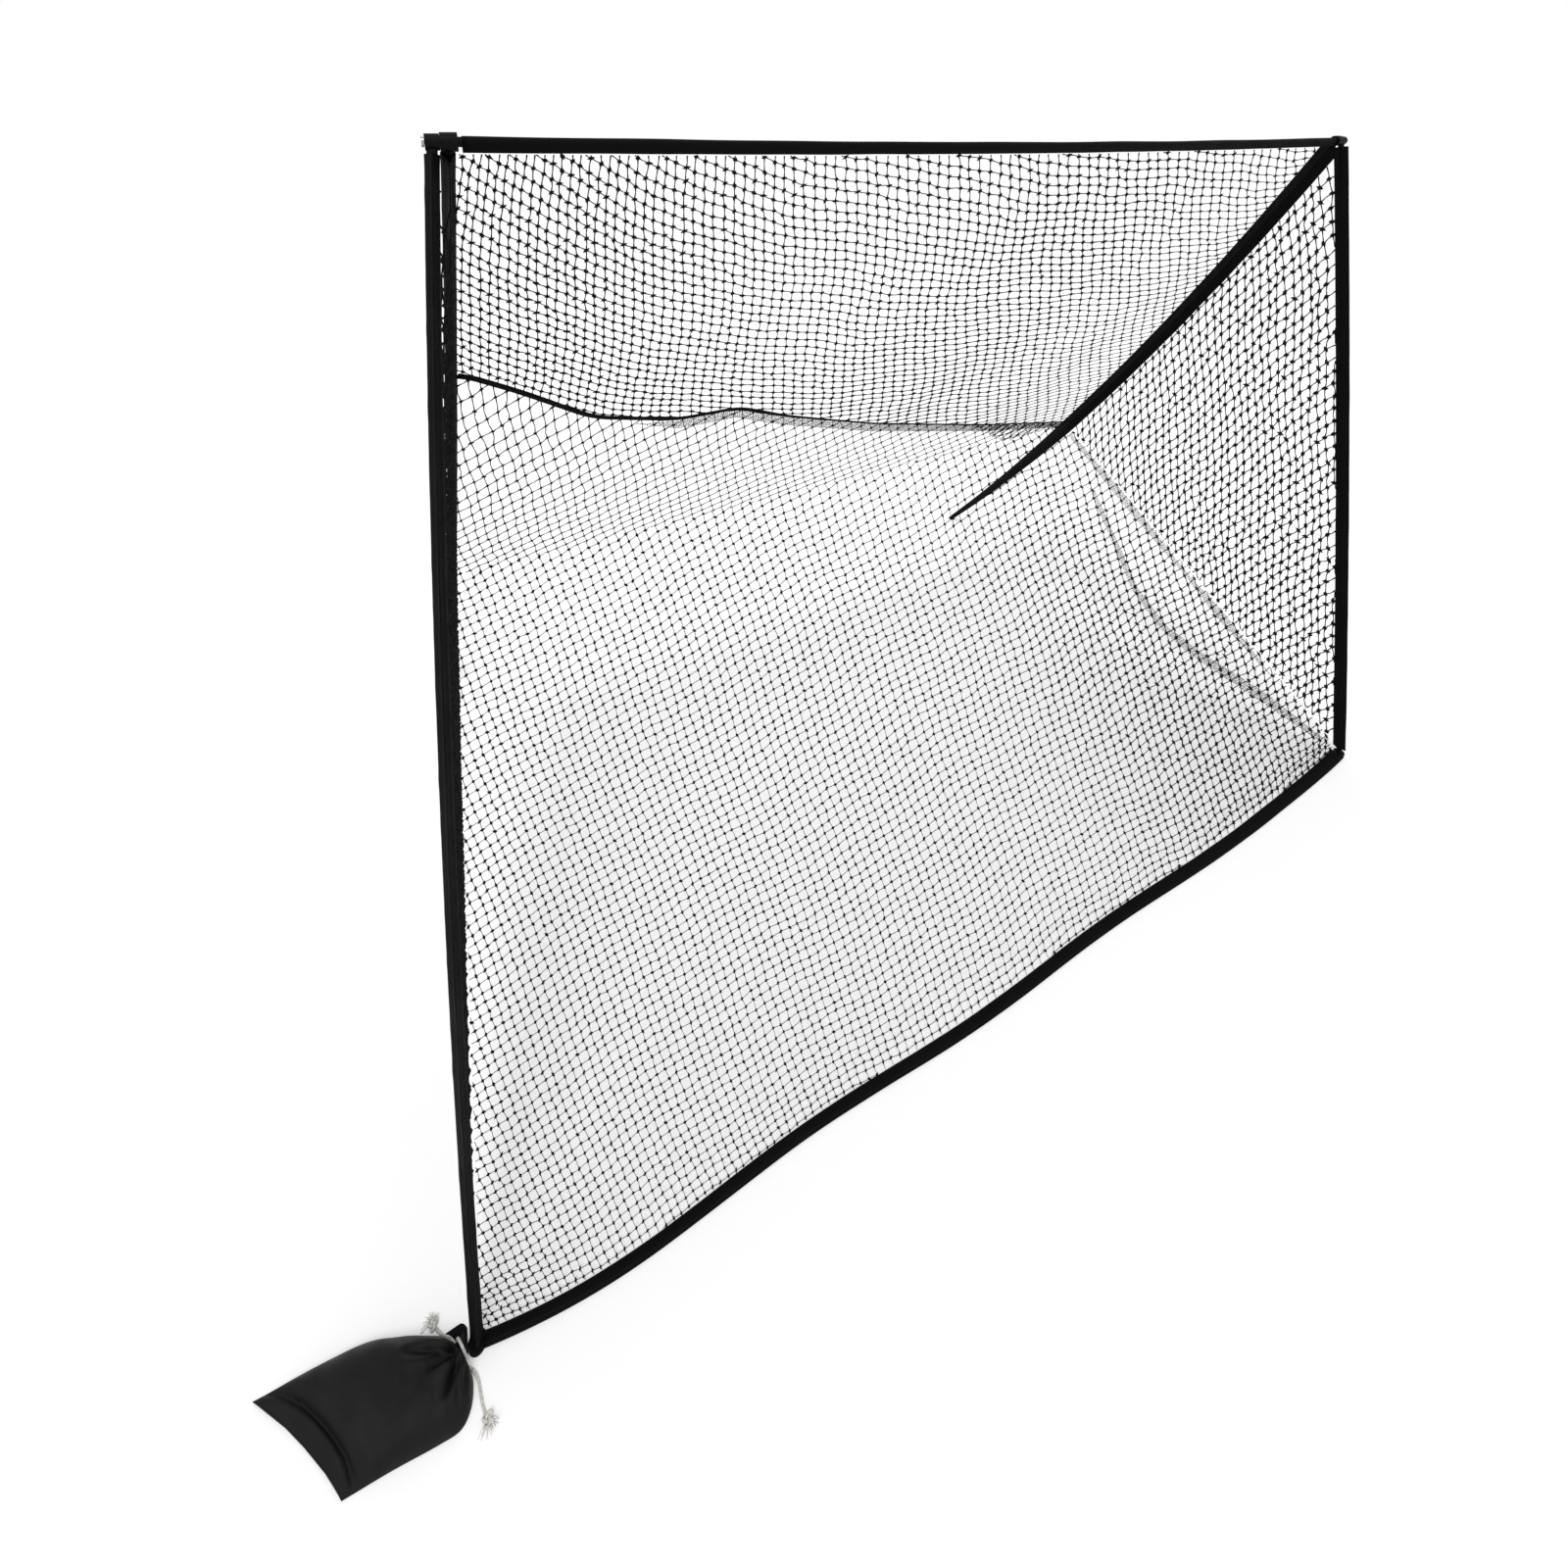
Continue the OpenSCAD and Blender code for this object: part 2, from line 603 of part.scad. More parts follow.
// The drawstring goes once round the gathered mouth, and its knotted ends lie on the ground.
loop_r = neck_r * waist + drawstring_d / 2 + 0.3;
loop_at = neck_base + (neck_tip - neck_base) * 0.63;
back_knot = [pouch_at.x - 67, pouch_at.y + 51, 5];
front_knot = [pouch_at.x + 12, pouch_at.y - 97, 5];
module drawstring() {
    lie = drawstring_d / 2 + 0.1;
    round_mouth = [for (a = [-65 : 15 : 245]) loop_at
        + [drawstring_d * 1.15 * (a - 90) / 310, loop_r * cos(a), loop_r * sin(a)]];
    path = concat(
        [back_knot, [pouch_at.x - 60, pouch_at.y + 38, lie + 2.4], [pouch_at.x - 50, pouch_at.y + 25, tab_t + drawstring_d / 2 + 0.7]],
        round_mouth,
        [[pouch_at.x - 30, pouch_at.y - 23, lie + 1], [pouch_at.x - 15, pouch_at.y - 40, lie],
         [pouch_at.x - 4, pouch_at.y - 60, lie], [pouch_at.x + 5, pouch_at.y - 78, lie], front_knot]);
    color("white") union() {
        cord(path, drawstring_d, 10);
        translate(back_knot) sphere(r = 5, $fn = 24);
        translate(front_knot) sphere(r = 5, $fn = 24);
    }
}

left_side() corner_fitting();  // corner_fitting_left
right_side() corner_fitting();  // corner_fitting_right
left_side() pivot_pin();  // pivot_pin_left
pivot_pin();  // pivot_pin_right
top_section(0);  // top_pole_1
top_section(1);  // top_pole_2
top_section(2);  // top_pole_3
top_section(3);  // top_pole_4
top_ferrules();
top_elastic();
top_sleeve();
left_side() strut_section(0);  // strut_left_pole_1
left_side() strut_section(1);  // strut_left_pole_2
left_side() strut_section(2);  // strut_left_pole_3
left_side() strut_section(3);  // strut_left_pole_4
left_side() strut_ferrules();  // strut_left_ferrules
left_side() strut_elastic();  // strut_left_elastic
left_side() strut_sleeve();  // strut_left_sleeve
left_side() rear_foot();  // rear_foot_left
right_side() strut_section(0);  // strut_right_pole_1
right_side() strut_section(1);  // strut_right_pole_2
right_side() strut_section(2);  // strut_right_pole_3
right_side() strut_section(3);  // strut_right_pole_4
right_side() strut_ferrules();  // strut_right_ferrules
right_side() strut_elastic();  // strut_right_elastic
right_side() strut_sleeve();  // strut_right_sleeve
right_side() rear_foot();  // rear_foot_right
net_back();
pocket_seam();
left_side() leg_socket();  // leg_socket_left
left_side() leg_section(0);  // leg_left_pole_1
left_side() leg_section(1);  // leg_left_pole_2
left_side() leg_section(2);  // leg_left_pole_3
left_side() leg_ferrules();  // leg_left_ferrules
left_side() leg_elastic();  // leg_left_elastic
left_side() leg_sleeve();  // leg_left_sleeve
left_side() front_foot();  // front_foot_left
leg_socket();  // leg_socket_right
leg_section(0);  // leg_right_pole_1
leg_section(1);  // leg_right_pole_2
leg_section(2);  // leg_right_pole_3
leg_ferrules();  // leg_right_ferrules
leg_elastic();  // leg_right_elastic
leg_sleeve();  // leg_right_sleeve
front_foot();  // front_foot_right
ground_hem();
corner_tab();
net_lower();
left_side() side_net();  // net_side_left
right_side() side_net();  // net_side_right
pouch();
drawstring();
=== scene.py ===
import math

import bmesh
import bpy
import numpy as np
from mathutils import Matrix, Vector, noise


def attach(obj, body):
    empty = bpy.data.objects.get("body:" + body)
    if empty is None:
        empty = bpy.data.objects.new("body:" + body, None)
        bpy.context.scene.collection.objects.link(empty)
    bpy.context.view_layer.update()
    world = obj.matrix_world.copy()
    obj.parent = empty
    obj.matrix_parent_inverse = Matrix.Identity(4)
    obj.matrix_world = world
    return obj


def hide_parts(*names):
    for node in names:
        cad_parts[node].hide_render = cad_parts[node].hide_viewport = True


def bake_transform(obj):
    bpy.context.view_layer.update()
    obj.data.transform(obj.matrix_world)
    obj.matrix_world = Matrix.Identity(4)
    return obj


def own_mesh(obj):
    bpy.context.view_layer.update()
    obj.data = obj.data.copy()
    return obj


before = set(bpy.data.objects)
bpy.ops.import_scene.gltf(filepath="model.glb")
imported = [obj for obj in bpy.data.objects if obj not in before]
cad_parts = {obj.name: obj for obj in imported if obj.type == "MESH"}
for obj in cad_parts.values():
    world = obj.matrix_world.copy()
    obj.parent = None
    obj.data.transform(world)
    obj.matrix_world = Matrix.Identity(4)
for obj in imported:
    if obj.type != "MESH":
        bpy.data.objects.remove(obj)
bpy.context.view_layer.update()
scene = bpy.context.scene
scene.view_settings.view_transform = "Standard"
print("frame loaded")

# The frame's own lines, in metres, as part.scad has them.
topHeight, cornerX, cornerY = 2.130, 1.246, 0.298
topEnd, topSag = 1.228, 0.011
legTop, legFoot, legBow = np.array([1.268, 0.298, 2.130]), np.array([1.425, 0.028, 0.008]), 0.015
fallFoot, strutBow = np.array([1.246, 1.928, 0.008]), 0.072
splays = {"left": 0.150, "right": 0.0}
netX, foldAt = 1.2361, 1.545
seamShare = np.array([-1, -0.9, -0.76, -0.58, -0.44, -0.3, 0, 0.5, 1])
seamDown = np.array([0.548, 0.640, 0.790, 0.868, 0.866, 0.960, 1.125, 1.335, 1.515])


def unit(v):
    v = np.asarray(v, float)
    return v / np.maximum(np.linalg.norm(v, axis=-1, keepdims=True), 1e-12)


def bendAt(s, chord, bow):
    radius = chord * chord / (8 * bow) + bow / 2
    return np.sqrt(radius**2 - (s - chord / 2) ** 2) - radius + bow


corner = np.array([cornerX, cornerY, topHeight])
fallChord = float(np.linalg.norm(fallFoot - corner))
fallDir = (fallFoot - corner) / fallChord
strutUp = np.cross([1, 0, 0], fallDir)
legChord = float(np.linalg.norm(legFoot - legTop))
legDir = (legFoot - legTop) / legChord
legOut = unit(np.array([1, 0, 0]) - legDir[0] * legDir)
legIn = unit([0, legTop[2] - legFoot[2], legFoot[1] - legTop[1]])


# A point of the surface between the struts: at x, s down the fall, and out towards the front.
def strutPoint(x, s, out=0.0):
    x, s = np.broadcast_arrays(np.asarray(x, float), np.asarray(s, float))
    base = np.stack([x, np.full_like(x, cornerY), np.full_like(x, topHeight)], -1)
    off = bendAt(s, fallChord, strutBow) + out
    return base + s[..., None] * fallDir - off[..., None] * strutUp


def strutLength(side):
    return float(np.linalg.norm(fallFoot + [splays[side], 0, 0] - corner))


# The axis of a strut, drawn on the right; the left one is its mirror image.
def strutLine(side, s):
    s = np.asarray(s, float)[..., None]
    chord = strutLength(side)
    direction = (fallFoot + [splays[side], 0, 0] - corner) / chord
    return corner + s * direction - bendAt(s, chord, strutBow) * strutUp


def legPoint(s, inward=0.0):
    s = np.asarray(s, float)[..., None]
    return legTop + legDir * s + legOut * bendAt(s, legChord, legBow) + legIn * inward


def topPoint(x, down=0.0):
    x = np.asarray(x, float)
    z = topHeight - bendAt(x + topEnd, 2 * topEnd, topSag) - down
    return np.stack([x, np.full_like(x, cornerY), z], -1)


hemLine = {"foot": 1.425, "back": 0.028, "wave": 0.013, "fade": 1.5, "waveLong": 0.95, "width": 0.020, "grows": 0.018}


def hemY(x):
    foot = hemLine["foot"]
    wave = hemLine["wave"] * np.exp(-(x + foot) / hemLine["fade"])
    wave = wave * np.cos(2 * math.pi * (x + foot / 2) / hemLine["waveLong"])
    return hemLine["back"] * (np.abs(x) / foot) ** 6 + wave


def hemHalf(x):
    return (hemLine["width"] + hemLine["grows"] * (x / (2 * hemLine["foot"]) + 0.5)) / 2


def splayAt(side, s):
    return splays[side] * s / fallChord


# How far the netting between the struts reaches at s, to the left and to the right.
def netLeft(s):
    return -netX - splayAt("left", s)


def netRight(s):
    return netX + splayAt("right", s)


seamX = np.where(seamShare < 0, -netLeft(seamDown), netRight(seamDown)) * seamShare


def seamAt(x):
    return np.interp(x, seamX, seamDown)


# Camera
cameraLook = {"place": (-1.288, -0.944, 2.134), "down": 13.82, "turn": 26.706, "lens": 16.263, "lift": -0.30}
cameraData = bpy.data.cameras.new("camera")
cameraData.sensor_width = 36
cameraData.lens = cameraLook["lens"]
cameraData.shift_y = cameraLook["lift"]
cameraData.clip_end = 60
camera = bpy.data.objects.new("camera", cameraData)
scene.collection.objects.link(camera)
camera.location = cameraLook["place"]
camera.rotation_euler = (math.radians(90 - cameraLook["down"]), 0, -math.radians(cameraLook["turn"]))
scene.camera = camera


# Materials: each finish runs between two colours, and weaves and stitches are measured in metres.
finishLook = {
    "sleeve": ((0.0012, 0.0012, 0.0014), (0.0045, 0.0045, 0.0048)), "stitch": (0.016, 0.016, 0.017),
    "stitchIn": 0.0045, "stitchHalf": 0.0006, "stitchPitch": 0.0042, "stitchShare": 0.62, "sleeveWeave": 0.0011,
    "twine": ((0.0040, 0.0040, 0.0042), (0.0120, 0.0120, 0.0125)),
    # crease: painted shade for the pouch's fold grooves and gathered neck, and also the dark colour of its seams.
    "satin": ((0.0030, 0.0032, 0.0033), (0.0058, 0.0061, 0.0062)), "crease": (0.0010, 0.0010, 0.0011),
    "satinWeave": 0.0007,
    "cotton": ((0.80, 0.78, 0.73), (0.50, 0.48, 0.44)),
    "rubber": ((0.0018, 0.0018, 0.0018), (0.0085, 0.0082, 0.0080)),
    "moulding": ((0.0014, 0.0014, 0.0015), (0.0055, 0.0055, 0.0058)),
    "steel": ((0.62, 0.62, 0.61), (0.44, 0.44, 0.43)), "aluminium": ((0.70, 0.70, 0.70), (0.55, 0.55, 0.55)),
    "fibreglass": ((0.010, 0.010, 0.011), (0.028, 0.028, 0.030)),
    "elastic": ((0.72, 0.71, 0.68), (0.32, 0.31, 0.30)),
    "tab": ((0.0012, 0.0012, 0.0020), (0.0040, 0.0040, 0.0065)), "tabWeave": 0.0014,
}


class Shader:
    def __init__(self, name):
        self.material = bpy.data.materials.new(name)
        self.material.use_nodes = True
        self.tree = self.material.node_tree
        self.bsdf = self.tree.nodes["Principled BSDF"]
        self.place = self.node("TexCoord").outputs["Object"]

    def feed(self, socket, value):
        if isinstance(value, bpy.types.NodeSocket):
            self.tree.links.new(value, socket)
        else:
            socket.default_value = value

    def node(self, kind, settings=None, **inputs):
        made = self.tree.nodes.new("ShaderNode" + kind)
        for key, value in (settings or {}).items():
            setattr(made, key, value)
        for key, value in inputs.items():
            self.feed(made.inputs[key.replace("_", " ")], value)
        return made

    def math(self, operation, a, b=0.0):
        made = self.node("Math", {"operation": operation})
        self.feed(made.inputs[0], a)
        self.feed(made.inputs[1], b)
        return made.outputs[0]

    def cloth(self):
        self.place = self.node("UVMap", {"uv_map": "cloth"}).outputs[0]

    def stretched(self, factors):
        scale = self.node("VectorMath", {"operation": "MULTIPLY"})
        self.feed(scale.inputs[0], self.place)
        scale.inputs[1].default_value = factors
        return scale.outputs[0]

    def noise(self, scale, detail=3.0, factors=None):
        vector = self.place if factors is None else self.stretched(factors)
        return self.node("TexNoise", Vector=vector, Scale=scale, Detail=detail).outputs["Fac"]

    def bands(self, period, direction="X"):
        return self.node(
            "TexWave", {"bands_direction": direction}, Vector=self.place, Scale=0.314 / period
        ).outputs["Fac"]

    def weave(self, period):
        return self.math("MAXIMUM", self.bands(period, "X"), self.math("SUBTRACT", 1.0, self.bands(period, "Y")))

    def mixed(self, factor, a, b):
        made = self.node("Mix", {"data_type": "RGBA"})
        self.feed(made.inputs[0], factor)
        self.feed(made.inputs[6], (*a, 1) if isinstance(a, tuple) else a)
        self.feed(made.inputs[7], (*b, 1) if isinstance(b, tuple) else b)
        return made.outputs[2]

    def ramped(self, value, low, high, outLow=0.0, outHigh=1.0):
        made = self.node("MapRange", Value=value)
        for key, number in zip(("From Min", "From Max", "To Min", "To Max"), (low, high, outLow, outHigh)):
            made.inputs[key].default_value = number
        return made.outputs[0]

    def bump(self, height, distance, below=None):
        made = self.node("Bump", Height=height, Distance=distance)
        made.inputs["Strength"].default_value = 1.0
        if below is not None:
            self.tree.links.new(below, made.inputs["Normal"])
        self.feed(self.bsdf.inputs["Normal"], made.outputs[0])
        return made.outputs[0]

    def finish(self, color, roughness, **sockets):
        self.feed(self.bsdf.inputs["Base Color"], (*color, 1) if isinstance(color, tuple) else color)
        self.feed(self.bsdf.inputs["Roughness"], roughness)
        for key, value in sockets.items():
            self.feed(self.bsdf.inputs[key.replace("_", " ")], value)
        return self.material


def sleeveClothMaterial():
    s = Shader("sleeve_cloth")
    s.cloth()
    split = s.node("SeparateXYZ", Vector=s.place)
    along, across = split.outputs[0], split.outputs[1]
    offLine = s.math("ABSOLUTE", s.math("SUBTRACT", across, finishLook["stitchIn"]))
    line = s.math("LESS_THAN", offLine, finishLook["stitchHalf"])
    turn = s.math("FRACT", s.math("DIVIDE", along, finishLook["stitchPitch"]))
    dash = s.math("LESS_THAN", turn, finishLook["stitchShare"])
    stitch = s.math("MULTIPLY", line, dash)
    worn = s.noise(9, 4)
    color = s.mixed(s.ramped(worn, 0.35, 0.75), *finishLook["sleeve"])
    color = s.mixed(stitch, color, finishLook["stitch"])
    low = s.bump(s.noise(60, 3), 0.0012)
    low = s.bump(s.weave(finishLook["sleeveWeave"]), 0.00018, low)
    s.bump(stitch, 0.0005, low)
    return s.finish(color, s.ramped(worn, 0.3, 0.7, 0.55, 0.80), Specular_IOR_Level=0.08)


def twineMaterial():
    s = Shader("net_twine")
    color = s.mixed(s.ramped(s.noise(40, 2), 0.35, 0.65), *finishLook["twine"])
    s.bump(s.noise(2600, 2), 0.0002)
    return s.finish(color, s.ramped(s.noise(300, 2), 0.3, 0.7, 0.7, 0.92), Specular_IOR_Level=0.12)


def satinMaterial():
    s = Shader("pouch_satin")
    s.cloth()
    crease = s.noise(34, 5, (1, 0.35, 1))
    color = s.mixed(s.ramped(s.noise(14, 3), 0.3, 0.75), *finishLook["satin"])
    # The satin is darkened by a layer that holds dark seams plus painted shade in the fold grooves and the neck.
    seamsAndCreaseShade = s.node("Attribute", {"attribute_name": "seamsAndCreaseShade"}).outputs["Fac"]
    color = s.mixed(seamsAndCreaseShade, color, finishLook["crease"])
    low = s.bump(crease, 0.0022)
    s.bump(s.weave(finishLook["satinWeave"]), 0.0001, low)
    roughness = s.ramped(crease, 0.3, 0.7, 0.42, 0.58)
    return s.finish(color, roughness, Specular_IOR_Level=0.20, Sheen_Weight=0.05, Sheen_Roughness=0.4)


def cottonMaterial():
    s = Shader("white_cord_cotton")
    grime = s.ramped(s.noise(160, 3), 0.35, 0.7)
    color = s.mixed(grime, *finishLook["cotton"])
    s.bump(s.noise(2200, 3), 0.0003)
    return s.finish(color, 0.9, Specular_IOR_Level=0.2)


def rubberMaterial():
    s = Shader("foot_rubber")
    dust = s.ramped(s.noise(45, 4), 0.45, 0.8)
    s.bump(s.noise(900, 3), 0.0003)
    color = s.mixed(dust, *finishLook["rubber"])
    return s.finish(color, s.ramped(dust, 0, 1, 0.72, 0.9), Specular_IOR_Level=0.15)


def mouldingMaterial():
    s = Shader("fitting_moulding")
    grain = s.node("TexVoronoi", Vector=s.place, Scale=900.0).outputs["Distance"]
    wear = s.ramped(s.noise(70, 4), 0.5, 0.75)
    s.bump(grain, 0.00012)
    color = s.mixed(wear, *finishLook["moulding"])
    return s.finish(color, s.ramped(wear, 0, 1, 0.45, 0.62), Specular_IOR_Level=0.12)


def metalMaterial(name, colors, roughness, direction):
    s = Shader(name)
    brushed = s.noise(500, 3, direction)
    s.bump(brushed, 0.00006)
    return s.finish(s.mixed(brushed, *colors), s.ramped(brushed, 0.2, 0.8, roughness, roughness + 0.18), Metallic=1.0)


def fibreglassMaterial():
    s = Shader("pole_fibreglass")
    fibres = s.noise(60, 4, (1, 12, 12))
    s.bump(fibres, 0.00008)
    return s.finish(s.mixed(fibres, *finishLook["fibreglass"]), s.ramped(fibres, 0.3, 0.7, 0.28, 0.45))


def elasticMaterial():
    s = Shader("elastic_cord")
    braid = s.node("TexVoronoi", Vector=s.place, Scale=700.0).outputs["Distance"]
    s.bump(braid, 0.0003)
    return s.finish(s.mixed(s.ramped(braid, 0.1, 0.5), *finishLook["elastic"]), 0.8)


def tabMaterial():
    s = Shader("tab_webbing")
    s.cloth()
    low = s.bump(s.noise(80, 3), 0.0008)
    s.bump(s.weave(finishLook["tabWeave"]), 0.0003, low)
    return s.finish(s.mixed(s.noise(60, 3), *finishLook["tab"]), 0.7, Specular_IOR_Level=0.12)


materials = {
    "sleeve": sleeveClothMaterial(),
    "twine": twineMaterial(),
    "satin": satinMaterial(),
    "cotton": cottonMaterial(),
    "rubber": rubberMaterial(),
    "moulding": mouldingMaterial(),
    "pin_steel": metalMaterial("pin_steel_brushed", finishLook["steel"], 0.25, (12, 1, 1)),
    "ferrule": metalMaterial("ferrule_aluminium", finishLook["aluminium"], 0.3, (1, 8, 8)),
    "fibreglass": fibreglassMaterial(),
    "elastic": elasticMaterial(),
    "tab": tabMaterial(),
}
nodeMaterials = {
    "corner_fitting": "moulding",
    "leg_socket": "moulding",
    "pivot_pin": "pin_steel",
    "front_foot": "rubber",
    "rear_foot": "rubber",
    "ferrules": "ferrule",
    "elastic": "elastic",
    "pole": "fibreglass",
}
for nodeName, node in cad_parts.items():
    for part, key in nodeMaterials.items():
        if part in nodeName:
            node.data.materials.clear()
            node.data.materials.append(materials[key])
            break
print("materials made")


# Mesh helpers
def addPiece(name, vertices, faces, material, uv=None):
    mesh = bpy.data.meshes.new(name)
    mesh.from_pydata([tuple(v) for v in vertices], [], faces)
    mesh.validate()
    mesh.materials.append(materials[material])
    if uv is not None:
        layer = mesh.uv_layers.new(name="cloth")
        corners = np.array([loop.vertex_index for loop in mesh.loops])
        layer.data.foreach_set("uv", np.asarray(uv, np.float32)[corners].ravel())
    mesh.polygons.foreach_set("use_smooth", [True] * len(mesh.polygons))
    mesh.update()
    piece = bpy.data.objects.new(name, mesh)
    scene.collection.objects.link(piece)
    return piece


def faceOutward(piece):
    work = bmesh.new()
    work.from_mesh(piece.data)
    bmesh.ops.recalc_face_normals(work, faces=work.faces)
    work.to_mesh(piece.data)
    work.free()


def applyModifiers(piece):
    bpy.ops.object.select_all(action="DESELECT")
    piece.select_set(True)
    bpy.context.view_layer.objects.active = piece
    for modifier in list(piece.modifiers):
        bpy.ops.object.modifier_apply(modifier=modifier.name)


def wobble(x, y, z):
    return noise.noise(Vector((float(x), float(y), float(z))))


# How far each point of a line is from its start, along it.
def stepsAlong(line):
    return np.concatenate([[0], np.cumsum(np.linalg.norm(np.diff(line, axis=0), axis=1))])


# The faces between rings of vertices that lie one after another.
def ringFaces(rings, around):
    faces = []
    for i in range(rings - 1):
        for k in range(around):
            a, b = i * around + k, i * around + (k + 1) % around
            faces.append((a, b, b + around, a + around))
    return faces


# A tube round a line of points: radius(i, angle) gives its radius at point i.
def tubeMesh(path, sides, radius):
    path = np.asarray(path, float)
    heads = unit(np.gradient(path, axis=0))
    side = unit(np.cross(heads[0], [0.31, 0.17, 0.94]))
    vertices = []
    for i, point in enumerate(path):
        side = unit(side - heads[i] * np.dot(side, heads[i]))
        other = np.cross(heads[i], side)
        for k in range(sides):
            a = 2 * math.pi * k / sides
            vertices.append(point + radius(i, a) * (side * math.cos(a) + other * math.sin(a)))
    faces = ringFaces(len(path), sides)
    faces.append(tuple(range(sides))[::-1])
    faces.append(tuple((len(path) - 1) * sides + k for k in range(sides)))
    return vertices, faces


# An even curve of count points through the given ones.
def smoothLine(points, count):
    points = np.asarray(points, float)
    along = stepsAlong(points)
    ends = np.vstack([2 * points[0] - points[1], points, 2 * points[-1] - points[-2]])
    result = []
    for at in np.linspace(0, along[-1], count):
        i = min(max(int(np.searchsorted(along, at, side="right")) - 1, 0), len(points) - 2)
        t = (at - along[i]) / (along[i + 1] - along[i])
        a, b, c, d = ends[i : i + 4]
        result.append(
            0.5 * (2 * b + (c - a) * t + (2 * a - 5 * b + 4 * c - d) * t**2 + (3 * b - a - 3 * c + d) * t**3)
        )
    return np.array(result)


# Netting: twine along both ways of a grid of knots on a flat cut, laid on a surface.
def addNet(name, look, knot, inside, place, normal):
    rng = np.random.default_rng(look["seed"])
    columns, rows = look["size"]
    ii, jj = np.meshgrid(np.arange(columns), np.arange(rows), indexing="ij")
    a, b = knot(ii.astype(float), jj.astype(float))
    (aAcross, aDown), (bAcross, bDown) = np.gradient(a), np.gradient(b)
    cell = np.sqrt(np.abs(aAcross * bDown - aDown * bAcross))
    heavy = look["heavy"](a, b) * np.ones_like(a)
    thick = np.clip(look["twine"] * cell, *look["twineRange"]) / 2 * heavy
    jitter = look["jitter"] * cell
    flat = np.stack([a + rng.uniform(-1, 1, a.shape) * jitter, b + rng.uniform(-1, 1, b.shape) * jitter], -1)
    kept = inside(flat[..., 0], flat[..., 1])
    vertices, faces, count = [], [], 0
    ringAngles = [math.pi / 2, math.pi * 7 / 6, math.pi * 11 / 6]

    # The last point inside on the way from p to q.
    def cut(p, q):
        low, high = 0.0, 1.0
        for _ in range(12):
            middle = (low + high) / 2
            at = p + (q - p) * middle
            if inside(np.array([at[0]]), np.array([at[1]]))[0]:
                low = middle
            else:
                high = middle
        return p + (q - p) * low

    def strand(run, sizes):
        nonlocal count
        if len(run) < 2:
            return
        points, radii = np.array(run), np.array(sizes)
        if look["curl"]:
            n = 2 * len(points) - 1
            middles = (points[1:] + points[:-1]) / 2
            reach = look["curl"] * np.linalg.norm(points[1:] - points[:-1], axis=1)
            middles = middles + rng.uniform(-1, 1, middles.shape) * reach[:, None]
            full, thickness = np.empty((n, 2)), np.empty(n)
            full[::2], full[1::2] = points, middles
            thickness[::2], thickness[1::2] = radii * look["swell"], (radii[1:] + radii[:-1]) / 2
            points, radii = full, thickness
        line = place(points[:, 0], points[:, 1])
        heads = unit(np.gradient(line, axis=0))
        side = unit(np.cross(heads, normal))
        other = np.cross(heads, side)
        rounds = [line + radii[:, None] * (side * math.cos(t) + other * math.sin(t)) for t in ringAngles]
        vertices.append(np.stack(rounds, 1).reshape(-1, 3))
        n = len(points)
        for i in range(n - 1):
            for k in range(3):
                c, d = count + 3 * i + k, count + 3 * i + (k + 1) % 3
                faces.append((c, d, d + 3, c + 3))
        faces.append((count + 2, count + 1, count))
        faces.append(tuple(count + 3 * (n - 1) + k for k in range(3)))
        count += 3 * n

    turned = (flat.transpose(1, 0, 2), kept.T, thick.T)
    for grid, mask, sizes in ((flat, kept, thick), turned):
        for line, shown, size in zip(grid, mask, sizes):
            run, radii = [], []
            for k in range(len(line)):
                if shown[k]:
                    if k and not shown[k - 1]:
                        run, radii = [cut(line[k], line[k - 1])], [size[k]]
                    run.append(line[k])
                    radii.append(size[k])
                    if k + 1 < len(line) and not shown[k + 1]:
                        run.append(cut(line[k], line[k + 1]))
                        radii.append(size[k])
                        strand(run, radii)
                        run, radii = [], []
            strand(run, radii)
    centres = place(flat[..., 0][kept], flat[..., 1][kept])
    up = unit(np.asarray(normal, float))
    first = unit(np.cross(up, [0.3, 0.5, 0.81]))
    second = np.cross(up, first)
    sizes = np.clip(look["knot"] * cell[kept], *look["knotRange"]) / 2 * heavy[kept]
    longs = rng.uniform(1.0, look["stretch"], len(centres))
    turns = rng.uniform(0, math.pi, len(centres))
    octahedron = [(0, 2, 4), (2, 1, 4), (1, 3, 4), (3, 0, 4), (2, 0, 5), (1, 2, 5), (3, 1, 5), (0, 3, 5)]
    for centre, r, long, turn in zip(centres, sizes, longs, turns):
        e1 = (first * math.cos(turn) + second * math.sin(turn)) * r * long
        e2 = (second * math.cos(turn) - first * math.sin(turn)) * r / long**0.3
        e3 = up * r * look["knotFlat"]
        vertices.append(centre + np.array([e1, -e1, e2, -e2, e3, -e3]))
        faces.extend(tuple(count + v for v in f) for f in octahedron)
        count += 6
    piece = addPiece(name, np.concatenate(vertices), faces, "twine")
    faceOutward(piece)
    print("net", name, len(centres), "knots", sum(len(f) - 2 for f in faces), "triangles")
    return piece


# The place of line number index when the first step is given and each step grows by rate.
def growing(index, step, rate):
    return step / rate * (np.exp(rate * index) - 1)


